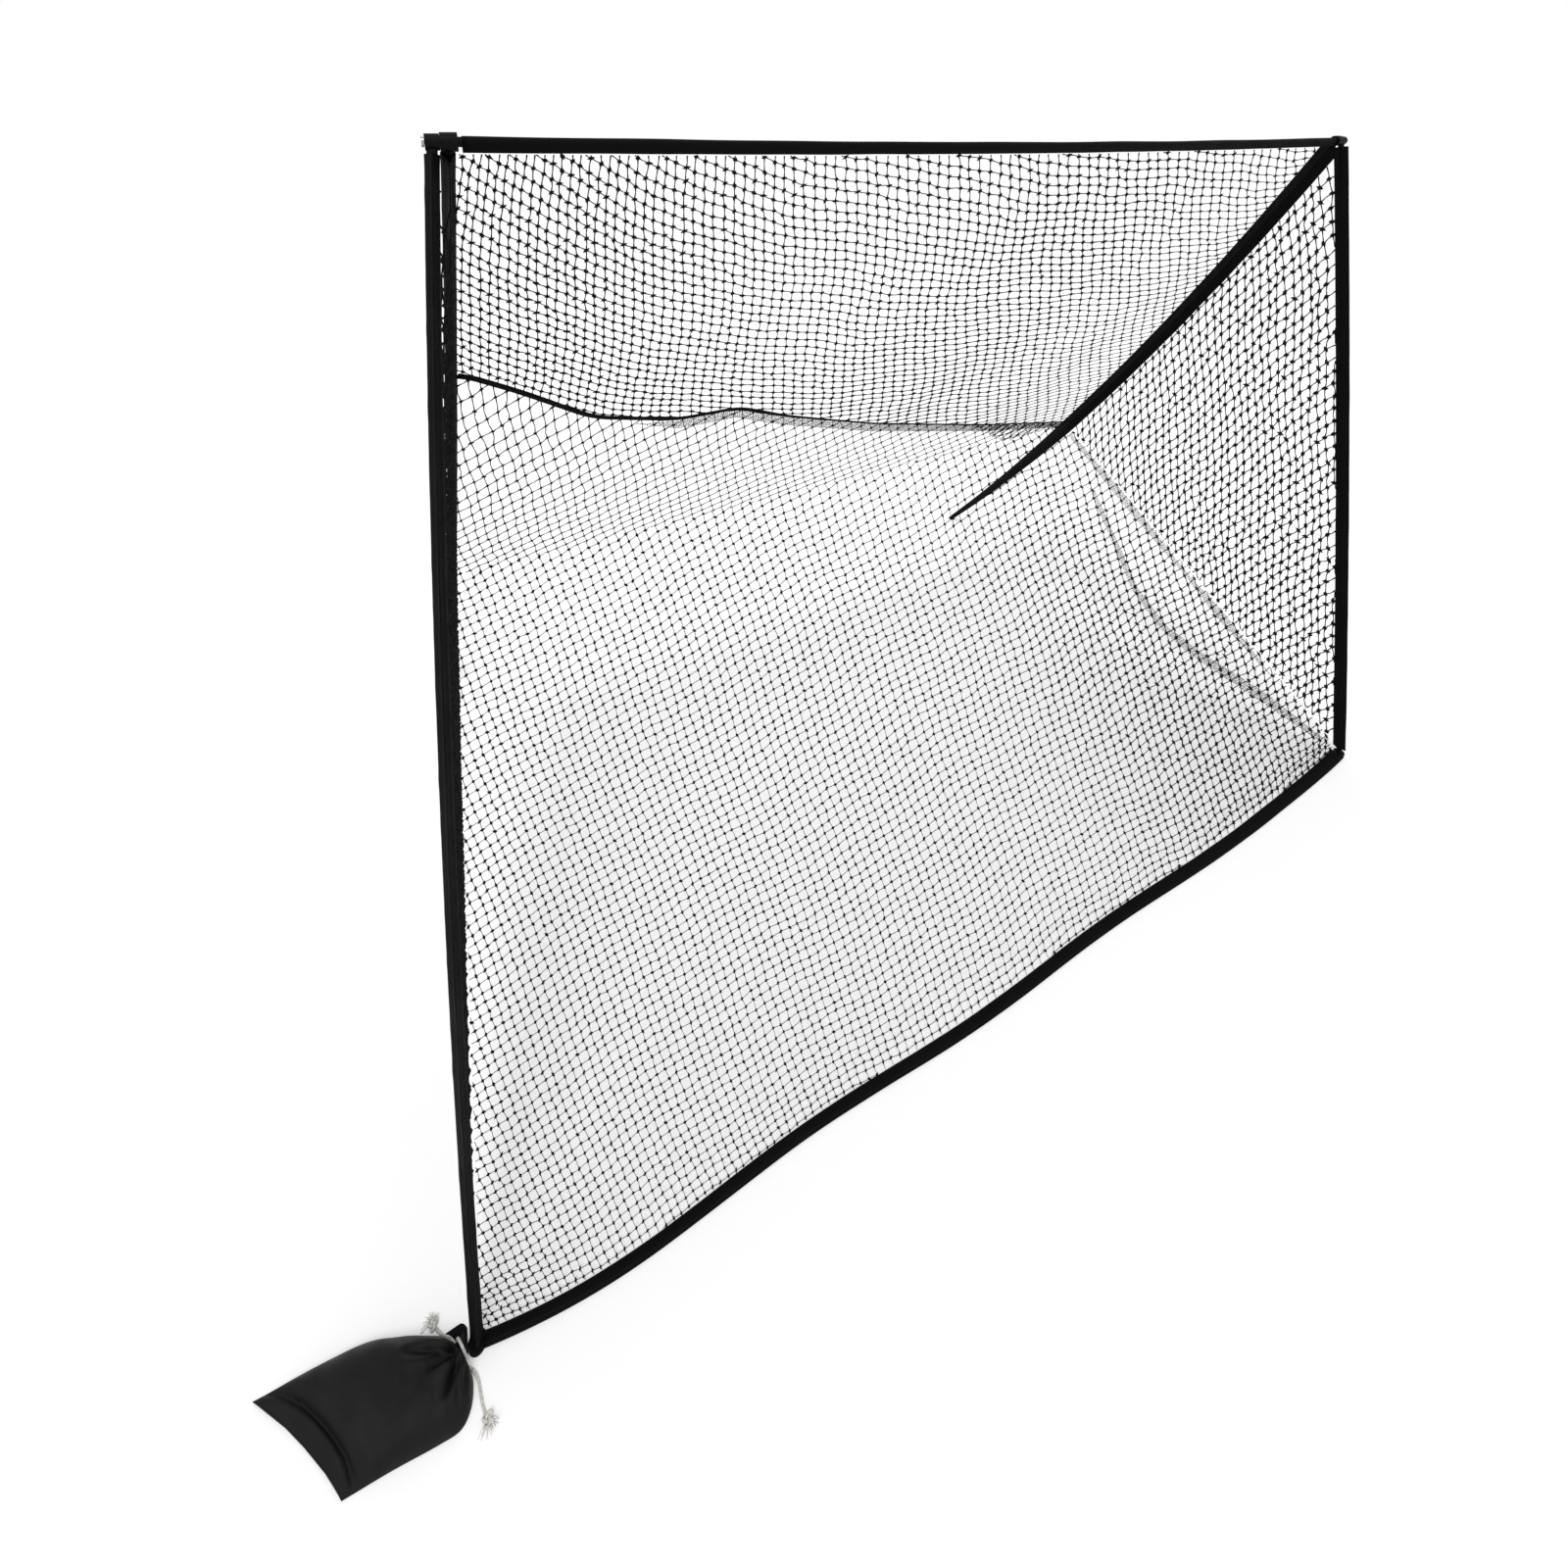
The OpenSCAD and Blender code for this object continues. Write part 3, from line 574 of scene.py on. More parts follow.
# A cloth sleeve: an open tube of an oval section that is wide round the pole and flat at its sewn edge.
def addSleeve(name, look, centres, wide, thin, half, ground=False):
    centres, n, k = np.asarray(centres), len(centres), look["around"]
    steps = stepsAlong(centres)
    half = np.broadcast_to(np.asarray(half, float), (n,))
    angles = np.linspace(0, 2 * math.pi, k, endpoint=False)
    vertices, uv = [], []
    for i in range(n):
        edgeFar = half[i] + look["ripple"] * wobble(steps[i] * 7, look["seed"], 0)
        edgeNear = half[i] + look["ripple"] * wobble(steps[i] * 5, look["seed"], 3)
        cuff = 1 - min(1, (steps[-1] - steps[i]) / look["cuffLong"], steps[i] / look["cuffLong"])
        across = 0.0
        last = None
        for angle in angles:
            y = -math.cos(angle) * (edgeFar if math.cos(angle) < 0 else edgeNear)
            share = abs(y) / half[i]
            hump = math.exp(-(((y - look["poleAt"]) / look["spread"]) ** 2))
            height = look["flat"] + (look["rise"] - look["flat"]) * hump
            height *= math.sqrt(max(0.0, 1 - min(1.0, share) ** 7))
            top = math.sin(angle) >= 0
            fold = wobble(steps[i] * look["creaseAlong"], y * 60 + 4 * top, look["seed"] + 9)
            skew = wobble(steps[i] * 11 + y * 90, 7.0, look["seed"] + 2)
            height += look["crease"] * (max(0.0, fold) + 0.6 * max(0.0, skew)) * min(1.0, 1.4 - share)
            height += look["cuff"] * cuff
            if ground and not top:
                height = look["under"]
            point = centres[i] + wide[i] * y + thin[i] * (height if top else -height)
            vertices.append(point)
            if last is not None:
                across += float(np.linalg.norm(point - last))
            last = point
            uv.append((steps[i], across))
    piece = addPiece(name, vertices, ringFaces(n, k), "sleeve", uv)
    faceOutward(piece)
    shell = piece.modifiers.new("cloth", "SOLIDIFY")
    shell.thickness = look["thickness"]
    shell.offset = -1
    applyModifiers(piece)
    girth = look["girth"] * float(np.mean(half))  # the flat width of the cloth that goes round
    return piece, (round(girth, 3), round(float(steps[-1]), 3))


# Netting
netLook = {
    "twine": 0.072, "twineRange": (0.0011, 0.0025), "knot": 0.37, "knotRange": (0.0046, 0.0120), "stretch": 1.7,
    "knotFlat": 0.7, "jitter": 0.10, "curl": 0.0, "swell": 1.7, "heavy": lambda a, b: 1.0,
}
backLook = dict(
    netLook, seed=11, size=(96, 64), first=(10, 18), column=0.0150, columnGrowth=0.0150, row=0.0275, left=-1.2,
    edge=1.16, fan=0.50, lean=0.06, leanFrom=0.2, fall=0.484, fallRate=1.55, curl=0.04, loose=0.25, out=0.004,
    waveX=[(0.006, 3, 9)], waveS=[(0.007, 7, 3), (0.003, 19, 0)],
    heavy=lambda x, s: 1.12 + 0.28 * np.clip((-0.5 - x) / 0.6, 0, 1) - 0.20 * np.clip((x - 0.4) / 0.6, 0, 1),
)
# What each edge of the netting keeps from the line it is sewn to.
netGap = {
    "sleeve": 0.0166, "top": 0.0015, "seam": 0.006, "hem": 0.001, "ground": 0.0045, "leg": 0.0204, "strut": 0.0294,
}
rampFront = np.array([0, 0.012, netGap["ground"]])
rampBack = strutPoint(0, foldAt)
rampDir = unit(rampBack - rampFront)
rampUp = np.array([0, -rampDir[2], rampDir[1]])
rampLength = float(np.linalg.norm(rampBack - rampFront))
rampStart, rampNarrow = 0.060 / rampDir[1], rampLength - 0.041


def netTop(x):
    return (netGap["sleeve"] + bendAt(x + topEnd, 2 * topEnd, topSag)) / -fallDir[2] + netGap["top"]


# Slow waves over a net: each is (height, turns along the first way, turns along the second).
def waves(terms, a, b):
    return sum(high * np.sin(p * a + q * b) for high, p, q in terms)


def ripple(x, b, scale=1.0):
    return scale * (np.sin(x * 5.1 + 1.3 * np.sin(b * 4)) * np.cos(b * 4.3 + x) + 0.5 * np.sin(x * 11 + b * 7))


def backKnot(i, j):
    look = backLook
    start = look["left"] + growing(i - look["first"][0], look["column"], look["columnGrowth"])
    x = start
    for _ in range(4):
        fallen = look["fall"] * (1 - np.exp(-look["fallRate"] * (x + look["edge"])))
        s = look["row"] * (j - look["first"][1]) + fallen
        x = start + (s - look["leanFrom"]) * (look["fan"] * (start + look["edge"]) - look["lean"])
    return x + waves(look["waveX"], x, s), s + waves(look["waveS"], x, s)


def backInside(x, s):
    return (x > netLeft(s)) & (x < netRight(s)) & (s > netTop(x)) & (s < seamAt(x) - netGap["seam"])


def backPlace(x, s):
    loose, out = backLook["loose"], backLook["out"]
    edge = np.clip((netRight(s) - x) / loose, 0, 1) * np.clip((x - netLeft(s)) / loose, 0, 1)
    edge = edge * np.clip((s - 0.03) / 0.2, 0, 1)
    return strutPoint(x, s, edge * (out + ripple(x, s, out)))


netBack = addNet("net_back_mesh", backLook, backKnot, backInside, backPlace, strutUp)
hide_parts("net_back")
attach(netBack, "rear_frame")

lowerLook = dict(
    netLook, seed=12, size=(130, 90), first=(8, 2), column=0.0140, columnGrowth=0.0100, row=0.0123, rowWidens=0.0032,
    rowGrowth=0.011, left=-1.35, edge=1.3, fan=0.40, lean=0.33, riserRow=1.75, riserFan=0.35, riserEdge=1.2,
    riserLean=0.12, half=1.414, wider=0.007, sag=0.014, out=0.004, loose=0.2, lowest=0.0003,
    waveX=[(0.005, 3, 9)], waveB=[(0.006, 6, 3), (0.0025, 17, 5)],
    heavy=lambda x, b: 1.04 + 0.10 * np.exp(-(x + 1.35) / 0.15) + 0.36 * np.clip((x - 0.3) / 0.6, 0, 1),
)


# Half the width of the ramp, b up from its front edge.
def rampHalf(x, b):
    half, fold = lowerLook["half"], np.where(x < 0, -netLeft(foldAt), netRight(foldAt))
    share = np.clip((b - rampStart) / (rampNarrow - rampStart), 0, 1)
    return half + (fold + lowerLook["wider"] - half) * share


def lowerKnot(i, j):
    look = lowerLook
    start = look["left"] + growing(i - look["first"][0], look["column"], look["columnGrowth"])
    x = start
    for _ in range(6):
        row = look["row"] + look["rowWidens"] * (x - look["left"])
        b = growing(j - look["first"][1], row, look["rowGrowth"])
        up = np.maximum(b - rampLength, 0) * look["riserRow"]
        b = np.minimum(b, rampLength)
        leaning = look["riserLean"] + look["riserFan"] * (x + look["riserEdge"])
        x = start + b * (look["fan"] * (start + look["edge"]) - look["lean"]) - up * leaning
        b = b + up
    return x + waves(look["waveX"], x, b), b + waves(look["waveB"], x, b)


def onRamp(x, b):
    return (np.abs(x) < rampHalf(x, b)) & (b > 0.0) & (b <= rampLength)


def onRiser(x, b):
    s = foldAt - (b - rampLength)
    return (b >= rampLength) & (x > netLeft(s)) & (x < netRight(s)) & (s > seamAt(x) + netGap["seam"])


def lowerPlace(x, b):
    x, b = np.asarray(x, float), np.asarray(b, float)
    straight = rampFront + b[..., None] * rampDir
    straight[..., 0] = x
    edge = np.stack([x, hemY(x) + hemHalf(x) + netGap["hem"], np.full_like(x, netGap["ground"])], -1)
    near = rampFront + rampStart * rampDir + np.stack([x, 0 * x, 0 * x], -1)
    start = edge + (near - edge) * np.clip(b / rampStart, 0, 1)[..., None]
    ramp = np.where((b < rampStart)[..., None], start, straight)
    t = np.clip(b / rampLength, 0, 1)
    loose = np.clip((rampHalf(x, b) - np.abs(x)) / lowerLook["loose"], 0, 1)
    sag = (lowerLook["sag"] + ripple(x, b, lowerLook["out"])) * np.sin(math.pi * t) * loose
    ramp = ramp - sag[..., None] * rampUp
    above = strutPoint(x, foldAt - (b - rampLength), 0.0015)
    return np.where((b <= rampLength)[..., None], ramp, above)


netLower = addNet("net_lower_mesh", lowerLook, lowerKnot, onRamp, lowerPlace, rampUp)
riserLook = dict(lowerLook, seed=17, size=(150, 120), curl=0.05, heavy=lambda x, b: 0.85)
netRiser = addNet("net_pocket_mesh", riserLook, lowerKnot, onRiser, lowerPlace, strutUp)
for vertex in netLower.data.vertices:
    vertex.co.z = max(vertex.co.z, lowerLook["lowest"])  # the knots beside the hem rest on the ground
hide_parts("net_lower")
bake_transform(netLower)
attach(netRiser, "rear_frame")

sideLook = dict(
    netLook, seed=13, size=(84, 66), first=(1, 2), column=0.0215, columnGrowth=0.012, row=0.052, legSlope=0.127,
    strutSlope=1.43, curl=0.07, jitter=0.12, hang=0.006, waveBack=[(0.004, 9, 5)], waveDepth=[(0.006, 11, 4)],
    heavy=lambda y, z: 1.45, keep=0.05, keepOut=0.010,
)
sideStart, legLast, strutLast = 0.060, legChord - 0.034, foldAt - 0.003


def sideEdges(side, t):
    front = legPoint(sideStart + (legLast - sideStart) * t, netGap["leg"])
    s = sideStart + (strutLast - sideStart) * t
    return front, strutPoint(cornerX + splayAt(side, s), s, netGap["strut"])


# How far down a side net, and how far back from the leg, a place seen from the side is.
def sideShare(side, y, z):
    low, high = np.full_like(y, -0.3), np.full_like(y, 1.3)
    for _ in range(30):
        t = (low + high) / 2
        p, q = sideEdges(side, t)
        f = (y - p[..., 1]) / (q[..., 1] - p[..., 1])
        above = z > p[..., 2] + (q[..., 2] - p[..., 2]) * f
        high, low = np.where(above, t, high), np.where(above, low, t)
    return t, f


# One family of lines runs beside the leg and the other beside the strut.
def sideKnot(i, j):
    look = sideLook
    down = look["row"] * (j - look["first"][1])
    back = growing(i - look["first"][0], look["column"], look["columnGrowth"]) - look["legSlope"] * down
    back = back / (1 + look["legSlope"] * look["strutSlope"])
    depth = down + look["strutSlope"] * back
    back = back + waves(look["waveBack"], depth, back)
    return cornerY + back, topHeight - depth - waves(look["waveDepth"], back, depth)


sideNets = {}
for side, sign in (("left", -1), ("right", 1)):

    def sideInside(y, z):
        t, f = sideShare(side, y, z)
        return (t > 0) & (t < 1) & (f > 0) & (f < 1)

    def sidePlace(y, z):
        t, f = sideShare(side, y, z)
        p, q = sideEdges(side, t)
        at = p + (q - p) * f[..., None]
        hang = np.sin(math.pi * np.clip(f, 0, 1)) * np.sin(math.pi * np.clip(t, 0, 1))
        at[..., 0] -= sideLook["hang"] * hang * (1 + ripple(y * 2, z, 0.5))
        return at * np.array([sign, 1, 1])

    look = dict(sideLook, seed=sideLook["seed"] + sign)
    net = addNet("net_side_" + side + "_mesh", look, sideKnot, sideInside, sidePlace, [sign, 0, 0])
    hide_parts("net_side_" + side)
    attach(net, "rear_frame")  # it stays with the strut when the leg comes back to it
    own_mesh(net)
    sideNets[side] = net

# Where two nets are sewn together a narrow strip of netting lies double and crumpled.
stripLook = dict(
    netLook, seed=41, twineRange=(0.0013, 0.0014), knotRange=(0.0036, 0.0044), jitter=0.34, cell=0.0066, lift=0.003,
    middle=8,
)


def stripKnot(first):
    def knot(i, j):
        return first + stripLook["cell"] * i, stripLook["cell"] * (j - stripLook["middle"])

    return knot


pocketStrip = {"from": -0.86, "to": 1.19, "below": 0.021, "half": 0.024, "fade": 0.15, "long": 336}
foldStrip = {
    "b": [0.065, 0.25, 0.466, 0.575, 0.733, 0.906, 1.138], "x": [1.375, 1.259, 1.099, 1.043, 1.028, 1.075, 1.134],
    "half": [0.012, 0.028, 0.024, 0.018, 0.015, 0.015, 0.012], "from": 0.06, "clear": 0.002, "long": 176,
}
edgeStrip = {
    "b": [0.30, 0.42, 0.55, 0.72, 0.85, 1.10, 1.40], "half": [0.002, 0.016, 0.024, 0.008, 0.018, 0.024, 0.014],
    "from": 0.29, "in": 0.030, "long": 180,
}


def pocketStripInside(x, d):
    fade = np.clip((x - pocketStrip["from"]) / pocketStrip["fade"], 0.1, 1)
    return (x < pocketStrip["to"]) & (x > pocketStrip["from"]) & (np.abs(d) < pocketStrip["half"] * fade)


def pocketStripPlace(x, d):
    return strutPoint(x, seamAt(x) + pocketStrip["below"] + d, stripLook["lift"])


# Inside a strip that lies along the ramp.
def alongRamp(strip):
    def inside(b, d):
        return (b > strip["b"][0]) & (b < strip["b"][-1]) & (np.abs(d) < np.interp(b, strip["b"], strip["half"]))

    return inside


def foldStripPlace(b, d):
    x = np.interp(b, foldStrip["b"], foldStrip["x"]) + d
    return lowerPlace(np.minimum(x, rampHalf(x, b) - foldStrip["clear"]), b) + stripLook["lift"] * rampUp


def edgeStripPlace(b, d):
    x = rampHalf(np.ones_like(b), b) - edgeStrip["in"] + d
    return lowerPlace(x, b) + stripLook["lift"] * rampUp


strips = []
for name, strip, inside, place, normal in (
    ("net_pocket_strip", pocketStrip, pocketStripInside, pocketStripPlace, strutUp),
    ("net_fold_strip", foldStrip, alongRamp(foldStrip), foldStripPlace, rampUp),
    ("net_edge_strip", edgeStrip, alongRamp(edgeStrip), edgeStripPlace, rampUp),
):
    look = dict(stripLook, size=(strip["long"], 2 * stripLook["middle"] + 1))
    strips.append(addNet(name, look, stripKnot(strip["from"]), inside, place, normal))
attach(strips[0], "rear_frame")
for strip in strips[1:]:
    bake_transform(strip)
print("nets made")

# Sleeves
sleeveLook = {
    "around": 28, "flat": 0.0017, "rise": 0.0092, "spread": 0.0105, "poleAt": 0.0, "ripple": 0.0010,
    "crease": 0.0009, "creaseAlong": 24, "seed": 1, "thickness": 0.0007, "under": 0.004, "cuff": 0.0006,
    "cuffLong": 0.02, "girth": 4.24, "rings": 200, "top": 0.013, "topDown": 0.0036, "topIn": 0.002, "strut": 0.029,
    "strutTapers": 0.018, "taperFrom": 1.560, "leg": 0.020, "poleIn": (0.019, 0.015),
}
sheets = []
xs = np.linspace(-topEnd + sleeveLook["topIn"], topEnd - sleeveLook["topIn"], sleeveLook["rings"])
topMiddle = topPoint(xs, sleeveLook["topDown"])
topWide = unit(np.stack([np.gradient(topMiddle[:, 2], xs), 0 * xs, -np.ones_like(xs)], -1))
topSleeve, cut = addSleeve(
    "top_sleeve_cloth", dict(sleeveLook, poleAt=-sleeveLook["topDown"], seed=3), topMiddle, topWide,
    np.tile([0.0, -1.0, 0.0], (len(xs), 1)), sleeveLook["top"],
)
sheets.append((topSleeve, cut, "rear_frame", "top_sleeve", ["top_pole_2"], [netBack]))

rises = {"left": 0.0108, "right": 0.0092}
for side, sign in (("left", -1), ("right", 1)):
    flip = np.array([sign, 1, 1])
    chord = strutLength(side)
    first, last = sleeveLook["poleIn"]
    s = np.linspace(first, chord - last, sleeveLook["rings"])
    tapered = np.maximum(s - sleeveLook["taperFrom"], 0) / (chord - sleeveLook["taperFrom"])
    half = sleeveLook["strut"] - sleeveLook["strutTapers"] * tapered
    line = strutLine(side, s) * flip
    heads = unit(np.gradient(line, axis=0))
    across = unit(np.cross(heads, [1.0, 0, 0]))
    look = dict(sleeveLook, seed=5 + sign, spread=0.012, rise=rises[side])
    strutSleeve, cut = addSleeve(
        "strut_" + side + "_sleeve_cloth", look, line, across, unit(np.cross(heads, across)), half
    )
    rests = ["strut_" + side + "_pole_2"]
    sheets.append((strutSleeve, cut, "rear_frame", "strut_" + side + "_sleeve", rests, []))
    s = np.linspace(first, legChord - last, sleeveLook["rings"])
    line = legPoint(s) * flip
    heads = unit(np.gradient(line, axis=0))
    legWide = np.tile(-legIn * flip, (len(s), 1))
    legThin = unit(np.cross(heads, legWide))
    body = "leg_" + side
    look = dict(sleeveLook, seed=15 + sign, rise=rises[side])
    legSleeve, cut = addSleeve(body + "_sleeve_cloth", look, line, legWide, legThin, sleeveLook["leg"])
    sheets.append((legSleeve, cut, body, body + "_sleeve", [body + "_pole_2"], [sideNets[side]]))

hemLook = dict(
    sleeveLook, seed=21, rise=0.0045, flat=0.0012, spread=0.009, under=0.0041, crease=0.0009, thickness=0.0006,
    rings=260, reach=1.4140, middle=0.0043,
)
xs = np.linspace(-hemLook["reach"], hemLook["reach"], hemLook["rings"])
hemMiddle = np.stack([xs, hemY(xs), np.full_like(xs, hemLook["middle"])], -1)
hemHeads = unit(np.gradient(hemMiddle, axis=0))
hemWide, hemThin = unit(np.cross([0, 0, 1.0], hemHeads)), np.tile([0, 0, 1.0], (len(xs), 1))
hemCloth, cut = addSleeve("ground_hem_cloth", hemLook, hemMiddle, hemWide, hemThin, hemHalf(xs), ground=True)
sheets.append((hemCloth, cut, "leg_left", "ground_hem", ["net_lower_mesh"], [netLower, netRiser, *strips[1:]]))

seamLook = dict(
    sleeveLook, around=16, seed=31, rise=0.0024, flat=0.0010, spread=0.006, crease=0.0004, ripple=0.0006,
    thickness=0.0004, rings=260, endIn=0.001, smooth=4, at=[-1.3, -0.95, -0.7, -0.5, -0.38, -0.15, 1.24],
    half=[0.0085, 0.0080, 0.0075, 0.0080, 0.0050, 0.0026, 0.0022],
)
xs = np.linspace(seamX[0] + seamLook["endIn"], seamX[-1] - seamLook["endIn"], seamLook["rings"])
window = 2 * seamLook["smooth"] + 1
seamLow = np.convolve(np.pad(seamAt(xs), seamLook["smooth"], "edge"), np.ones(window) / window, "valid")
seamLine = strutPoint(xs, seamLow)
seamHeads = unit(np.gradient(seamLine, axis=0))
seamWide = unit(np.cross(seamHeads, strutUp))
seamHalf = np.interp(xs, seamLook["at"], seamLook["half"])
tape, cut = addSleeve("pocket_seam_tape", seamLook, seamLine, seamWide, np.tile(strutUp, (len(xs), 1)), seamHalf)
sheets.append((tape, cut, "rear_frame", "pocket_seam", ["net_back_mesh"], [strips[0]]))
for piece, cut, body, node, rests, pieces in sheets:
    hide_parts(node)
    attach(piece, body)
print("sleeves made")

# Corner tab
tabLook = {
    "outline": [
        (-1.4414, 0.022), (-1.4414, 0.060), (-1.4574, 0.066), (-1.4834, 0.064), (-1.4794, 0.046), (-1.4494, 0.030),
    ],
    "steps": 8, "rings": 7, "inner": 0.12, "bottom": 0.0003, "top": 0.0021, "wobble": 0.0004, "edgeDown": 0.0006,
}
tabBase, tabSteps, tabRings = np.array(tabLook["outline"]), tabLook["steps"], tabLook["rings"]
tabNext, around = np.roll(tabBase, -1, axis=0), len(tabLook["outline"]) * tabLook["steps"]
vertices, faces, uv = [], [], []
centre = tabBase.mean(0)
# Halfway between the straight outline and the smooth one, so the corners are rounded.
outline = smoothLine([(*p, 0) for p in np.vstack([tabBase, tabBase[:1]])], around + 1)[:-1, :2]
straight = [tabBase[k // tabSteps] + (tabNext - tabBase)[k // tabSteps] * (k / tabSteps % 1) for k in range(around)]
outline = 0.5 * outline + 0.5 * np.array(straight)
for onTop in (False, True):
    for r in np.linspace(1, tabLook["inner"], tabRings):
        for p in outline:
            at = centre + (p - centre) * r
            rise = tabLook["top"] + tabLook["wobble"] * wobble(at[0] * 90, at[1] * 90, 3)
            rise -= tabLook["edgeDown"] if r > 0.98 else 0
            vertices.append((at[0], at[1], rise if onTop else tabLook["bottom"]))
            uv.append((at[0], at[1]))
for onTop in (False, True):
    base = tabRings * around if onTop else 0
    for ring in range(tabRings - 1):
        for k in range(around):
            a, b = base + ring * around + k, base + ring * around + (k + 1) % around
            faces.append((a, b, b + around, a + around) if onTop else (a, a + around, b + around, b))
    faces.append(tuple(base + (tabRings - 1) * around + k for k in range(around)))
for k in range(around):
    faces.append((k, (k + 1) % around, tabRings * around + (k + 1) % around, tabRings * around + k))
tab = addPiece("corner_tab_webbing", vertices, faces, "tab", uv)
faceOutward(tab)
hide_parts("corner_tab")
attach(tab, "leg_left")

# Pouch
pouchLook = {
    "back": [
        (-1.7800, 0.1365), (-1.6885, 0.1285), (-1.6110, 0.1180), (-1.5655, 0.1020), (-1.5300, 0.0850),
        (-1.4900, 0.0600), (-1.4690, 0.0420),
    ],
    "front": [
        (-1.6330, -0.0410), (-1.5605, -0.0475), (-1.4900, -0.0560), (-1.4570, -0.0570), (-1.4405, -0.0430),
        (-1.4350, -0.0210), (-1.4375, -0.0020), (-1.4510, 0.0170),
    ],
    "at": [0, 0.05, 0.09, 0.11, 0.13, 0.16, 0.22, 0.36, 0.60, 0.85, 1.0],
    "height": [0.003, 0.007, 0.014, 0.014, 0.008, 0.020, 0.034, 0.043, 0.046, 0.042, 0.036],
    "hollow": 0.015, "lens": 0.085, "gather": (-1.4600, 0.0225, 0.0200), "neckDir": (0.94, 0.34, 0.0),
    "neckLength": 0.0200, "around": 120, "along": 84, "fromBase": (0.94, -0.34, 0), "seamAt": 0.0012,
    "pleats": 9, "pleatDepth": 0.0026, "reach": 0.105, "rough": 0.0016, "joining": 7, "lowest": 0.0005,
    "neck": [
        (0.0, 0.0150), (0.25, 0.0112), (0.45, 0.0100), (0.60, 0.0100), (0.78, 0.0112), (1.0, 0.0136), (1.0, 0.0126),
        (0.7, 0.0088), (0.5, 0.0060),
    ],
    "pressure": 1.1, "cap": 0.006, "frames": 16, "heldBase": 0.14, "heldNeck": 0.86, "heldLow": 0.0016,
    "folds": [
        ((-1.466, 0.024), (-1.550, 0.062), 0.0055, 0.009), ((-1.458, 0.015), (-1.508, 0.022), 0.0070, 0.015),
        ((-1.455, 0.008), (-1.479, -0.027), 0.0065, 0.015), ((-1.445, -0.003), (-1.447, -0.034), 0.0045, 0.008),
        ((-1.462, 0.020), (-1.530, 0.043), 0.0045, 0.005), ((-1.451, 0.002), (-1.461, -0.040), 0.0040, 0.006),
    ],
}
gather, neckDir = np.array(pouchLook["gather"]), np.array(pouchLook["neckDir"])
neckTip = gather + pouchLook["neckLength"] * neckDir
neckAside = np.array([-neckDir[1], neckDir[0], 0])
pouchSides = [smoothLine([(*p, 0) for p in pouchLook[key]], 201) for key in ("back", "front")]


# A point of the bag: t runs from its base to its neck, angle round it, the upper half first.
def pouchPoint(t, angle):
    at = np.clip(t, 0, 1) * 200
    left, right = (line[int(round(at))] for line in pouchSides)
    middle, reach = (left + right) / 2, (right - left) / 2
    c, q = math.cos(angle), math.sin(angle)
    point = middle + reach * math.copysign(abs(c) ** 0.85, c)
    hollow = pouchLook["hollow"] * (1 - c * c) * max(0.0, 1 - t / 0.5) ** 2
    point = point + np.array(pouchLook["fromBase"]) * hollow
    lens = pouchLook["lens"] * c * c * max(0.0, 1 - t / 0.4)
    tall = float(np.interp(t + lens, pouchLook["at"], pouchLook["height"]))
    if q >= 0:
        point[2] = pouchLook["seamAt"] + tall * (1 - abs(c) ** 2.6) ** 0.62
    else:
        point[2] = pouchLook["seamAt"] * (1 - abs(q))
    return point


# How deep the folds are at a place: each is a groove between two low ridges that fades to its ends. The second value
# says how much painted shade the groove gets.
def foldDepth(x, y):
    depth, grooveShade = 0.0, 0.0
    for start, end, wide, deep in pouchLook["folds"]:
        line = np.subtract(end, start)
        share = float(np.dot(np.subtract((x, y), start), line) / np.dot(line, line))
        if -0.1 < share < 1.0:
            off = abs(float(line[0] * (y - start[1]) - line[1] * (x - start[0])) / float(np.linalg.norm(line)))
            wide = wide * (0.75 + 0.45 * share)
            fade = math.sin(math.pi * min(1.0, (share + 0.1) / 1.1) ** 0.7)
            groove = math.exp(-((off / wide) ** 2)) * fade
            depth += deep * (groove - 0.45 * math.exp(-(((off - 1.9 * wide) / wide) ** 2)) * fade)
            grooveShade = max(grooveShade, groove)
    return depth, grooveShade


rings, seamsAndCreaseShade = [], []
count, along = pouchLook["around"], pouchLook["along"]
for i in range(along):
    t = (i / (along - 1)) ** 0.95
    ring = []
    seam = 0.9 if t < 0.012 else 0.0
    for k in range(count):
        angle = 2 * math.pi * k / count
        point = pouchPoint(t, angle)
        away = point - gather
        distance = float(np.linalg.norm(away))
        heading = math.atan2(away[1], -away[0])
        fade = math.exp(-((distance / pouchLook["reach"]) ** 2)) * min(1.0, point[2] / 0.012)
        wave = math.sin(pouchLook["pleats"] * heading + 2.2 * wobble(heading * 1.3, 0.4, 7)) ** 3
        point[2] += pouchLook["pleatDepth"] * fade * wave
        point[2] += pouchLook["rough"] * min(1.0, point[2] / 0.02) * wobble(point[0] * 22, point[1] * 22, 5)
        depth, grooveShade = foldDepth(point[0], point[1]) if angle < math.pi else (0.0, 0.0)
        if point[2] > 0.003:
            point[2] = max(0.003, point[2] - depth * min(1.0, point[2] / 0.02))
        ring.append(point)
        # Dark seams along the base and the edges, and painted shade in the fold grooves.
        seamsAndCreaseShade.append(max(seam, 0.9 if abs(math.cos(angle)) > 0.992 else 0.0, 0.92 * grooveShade))
    rings.append(np.array(ring))
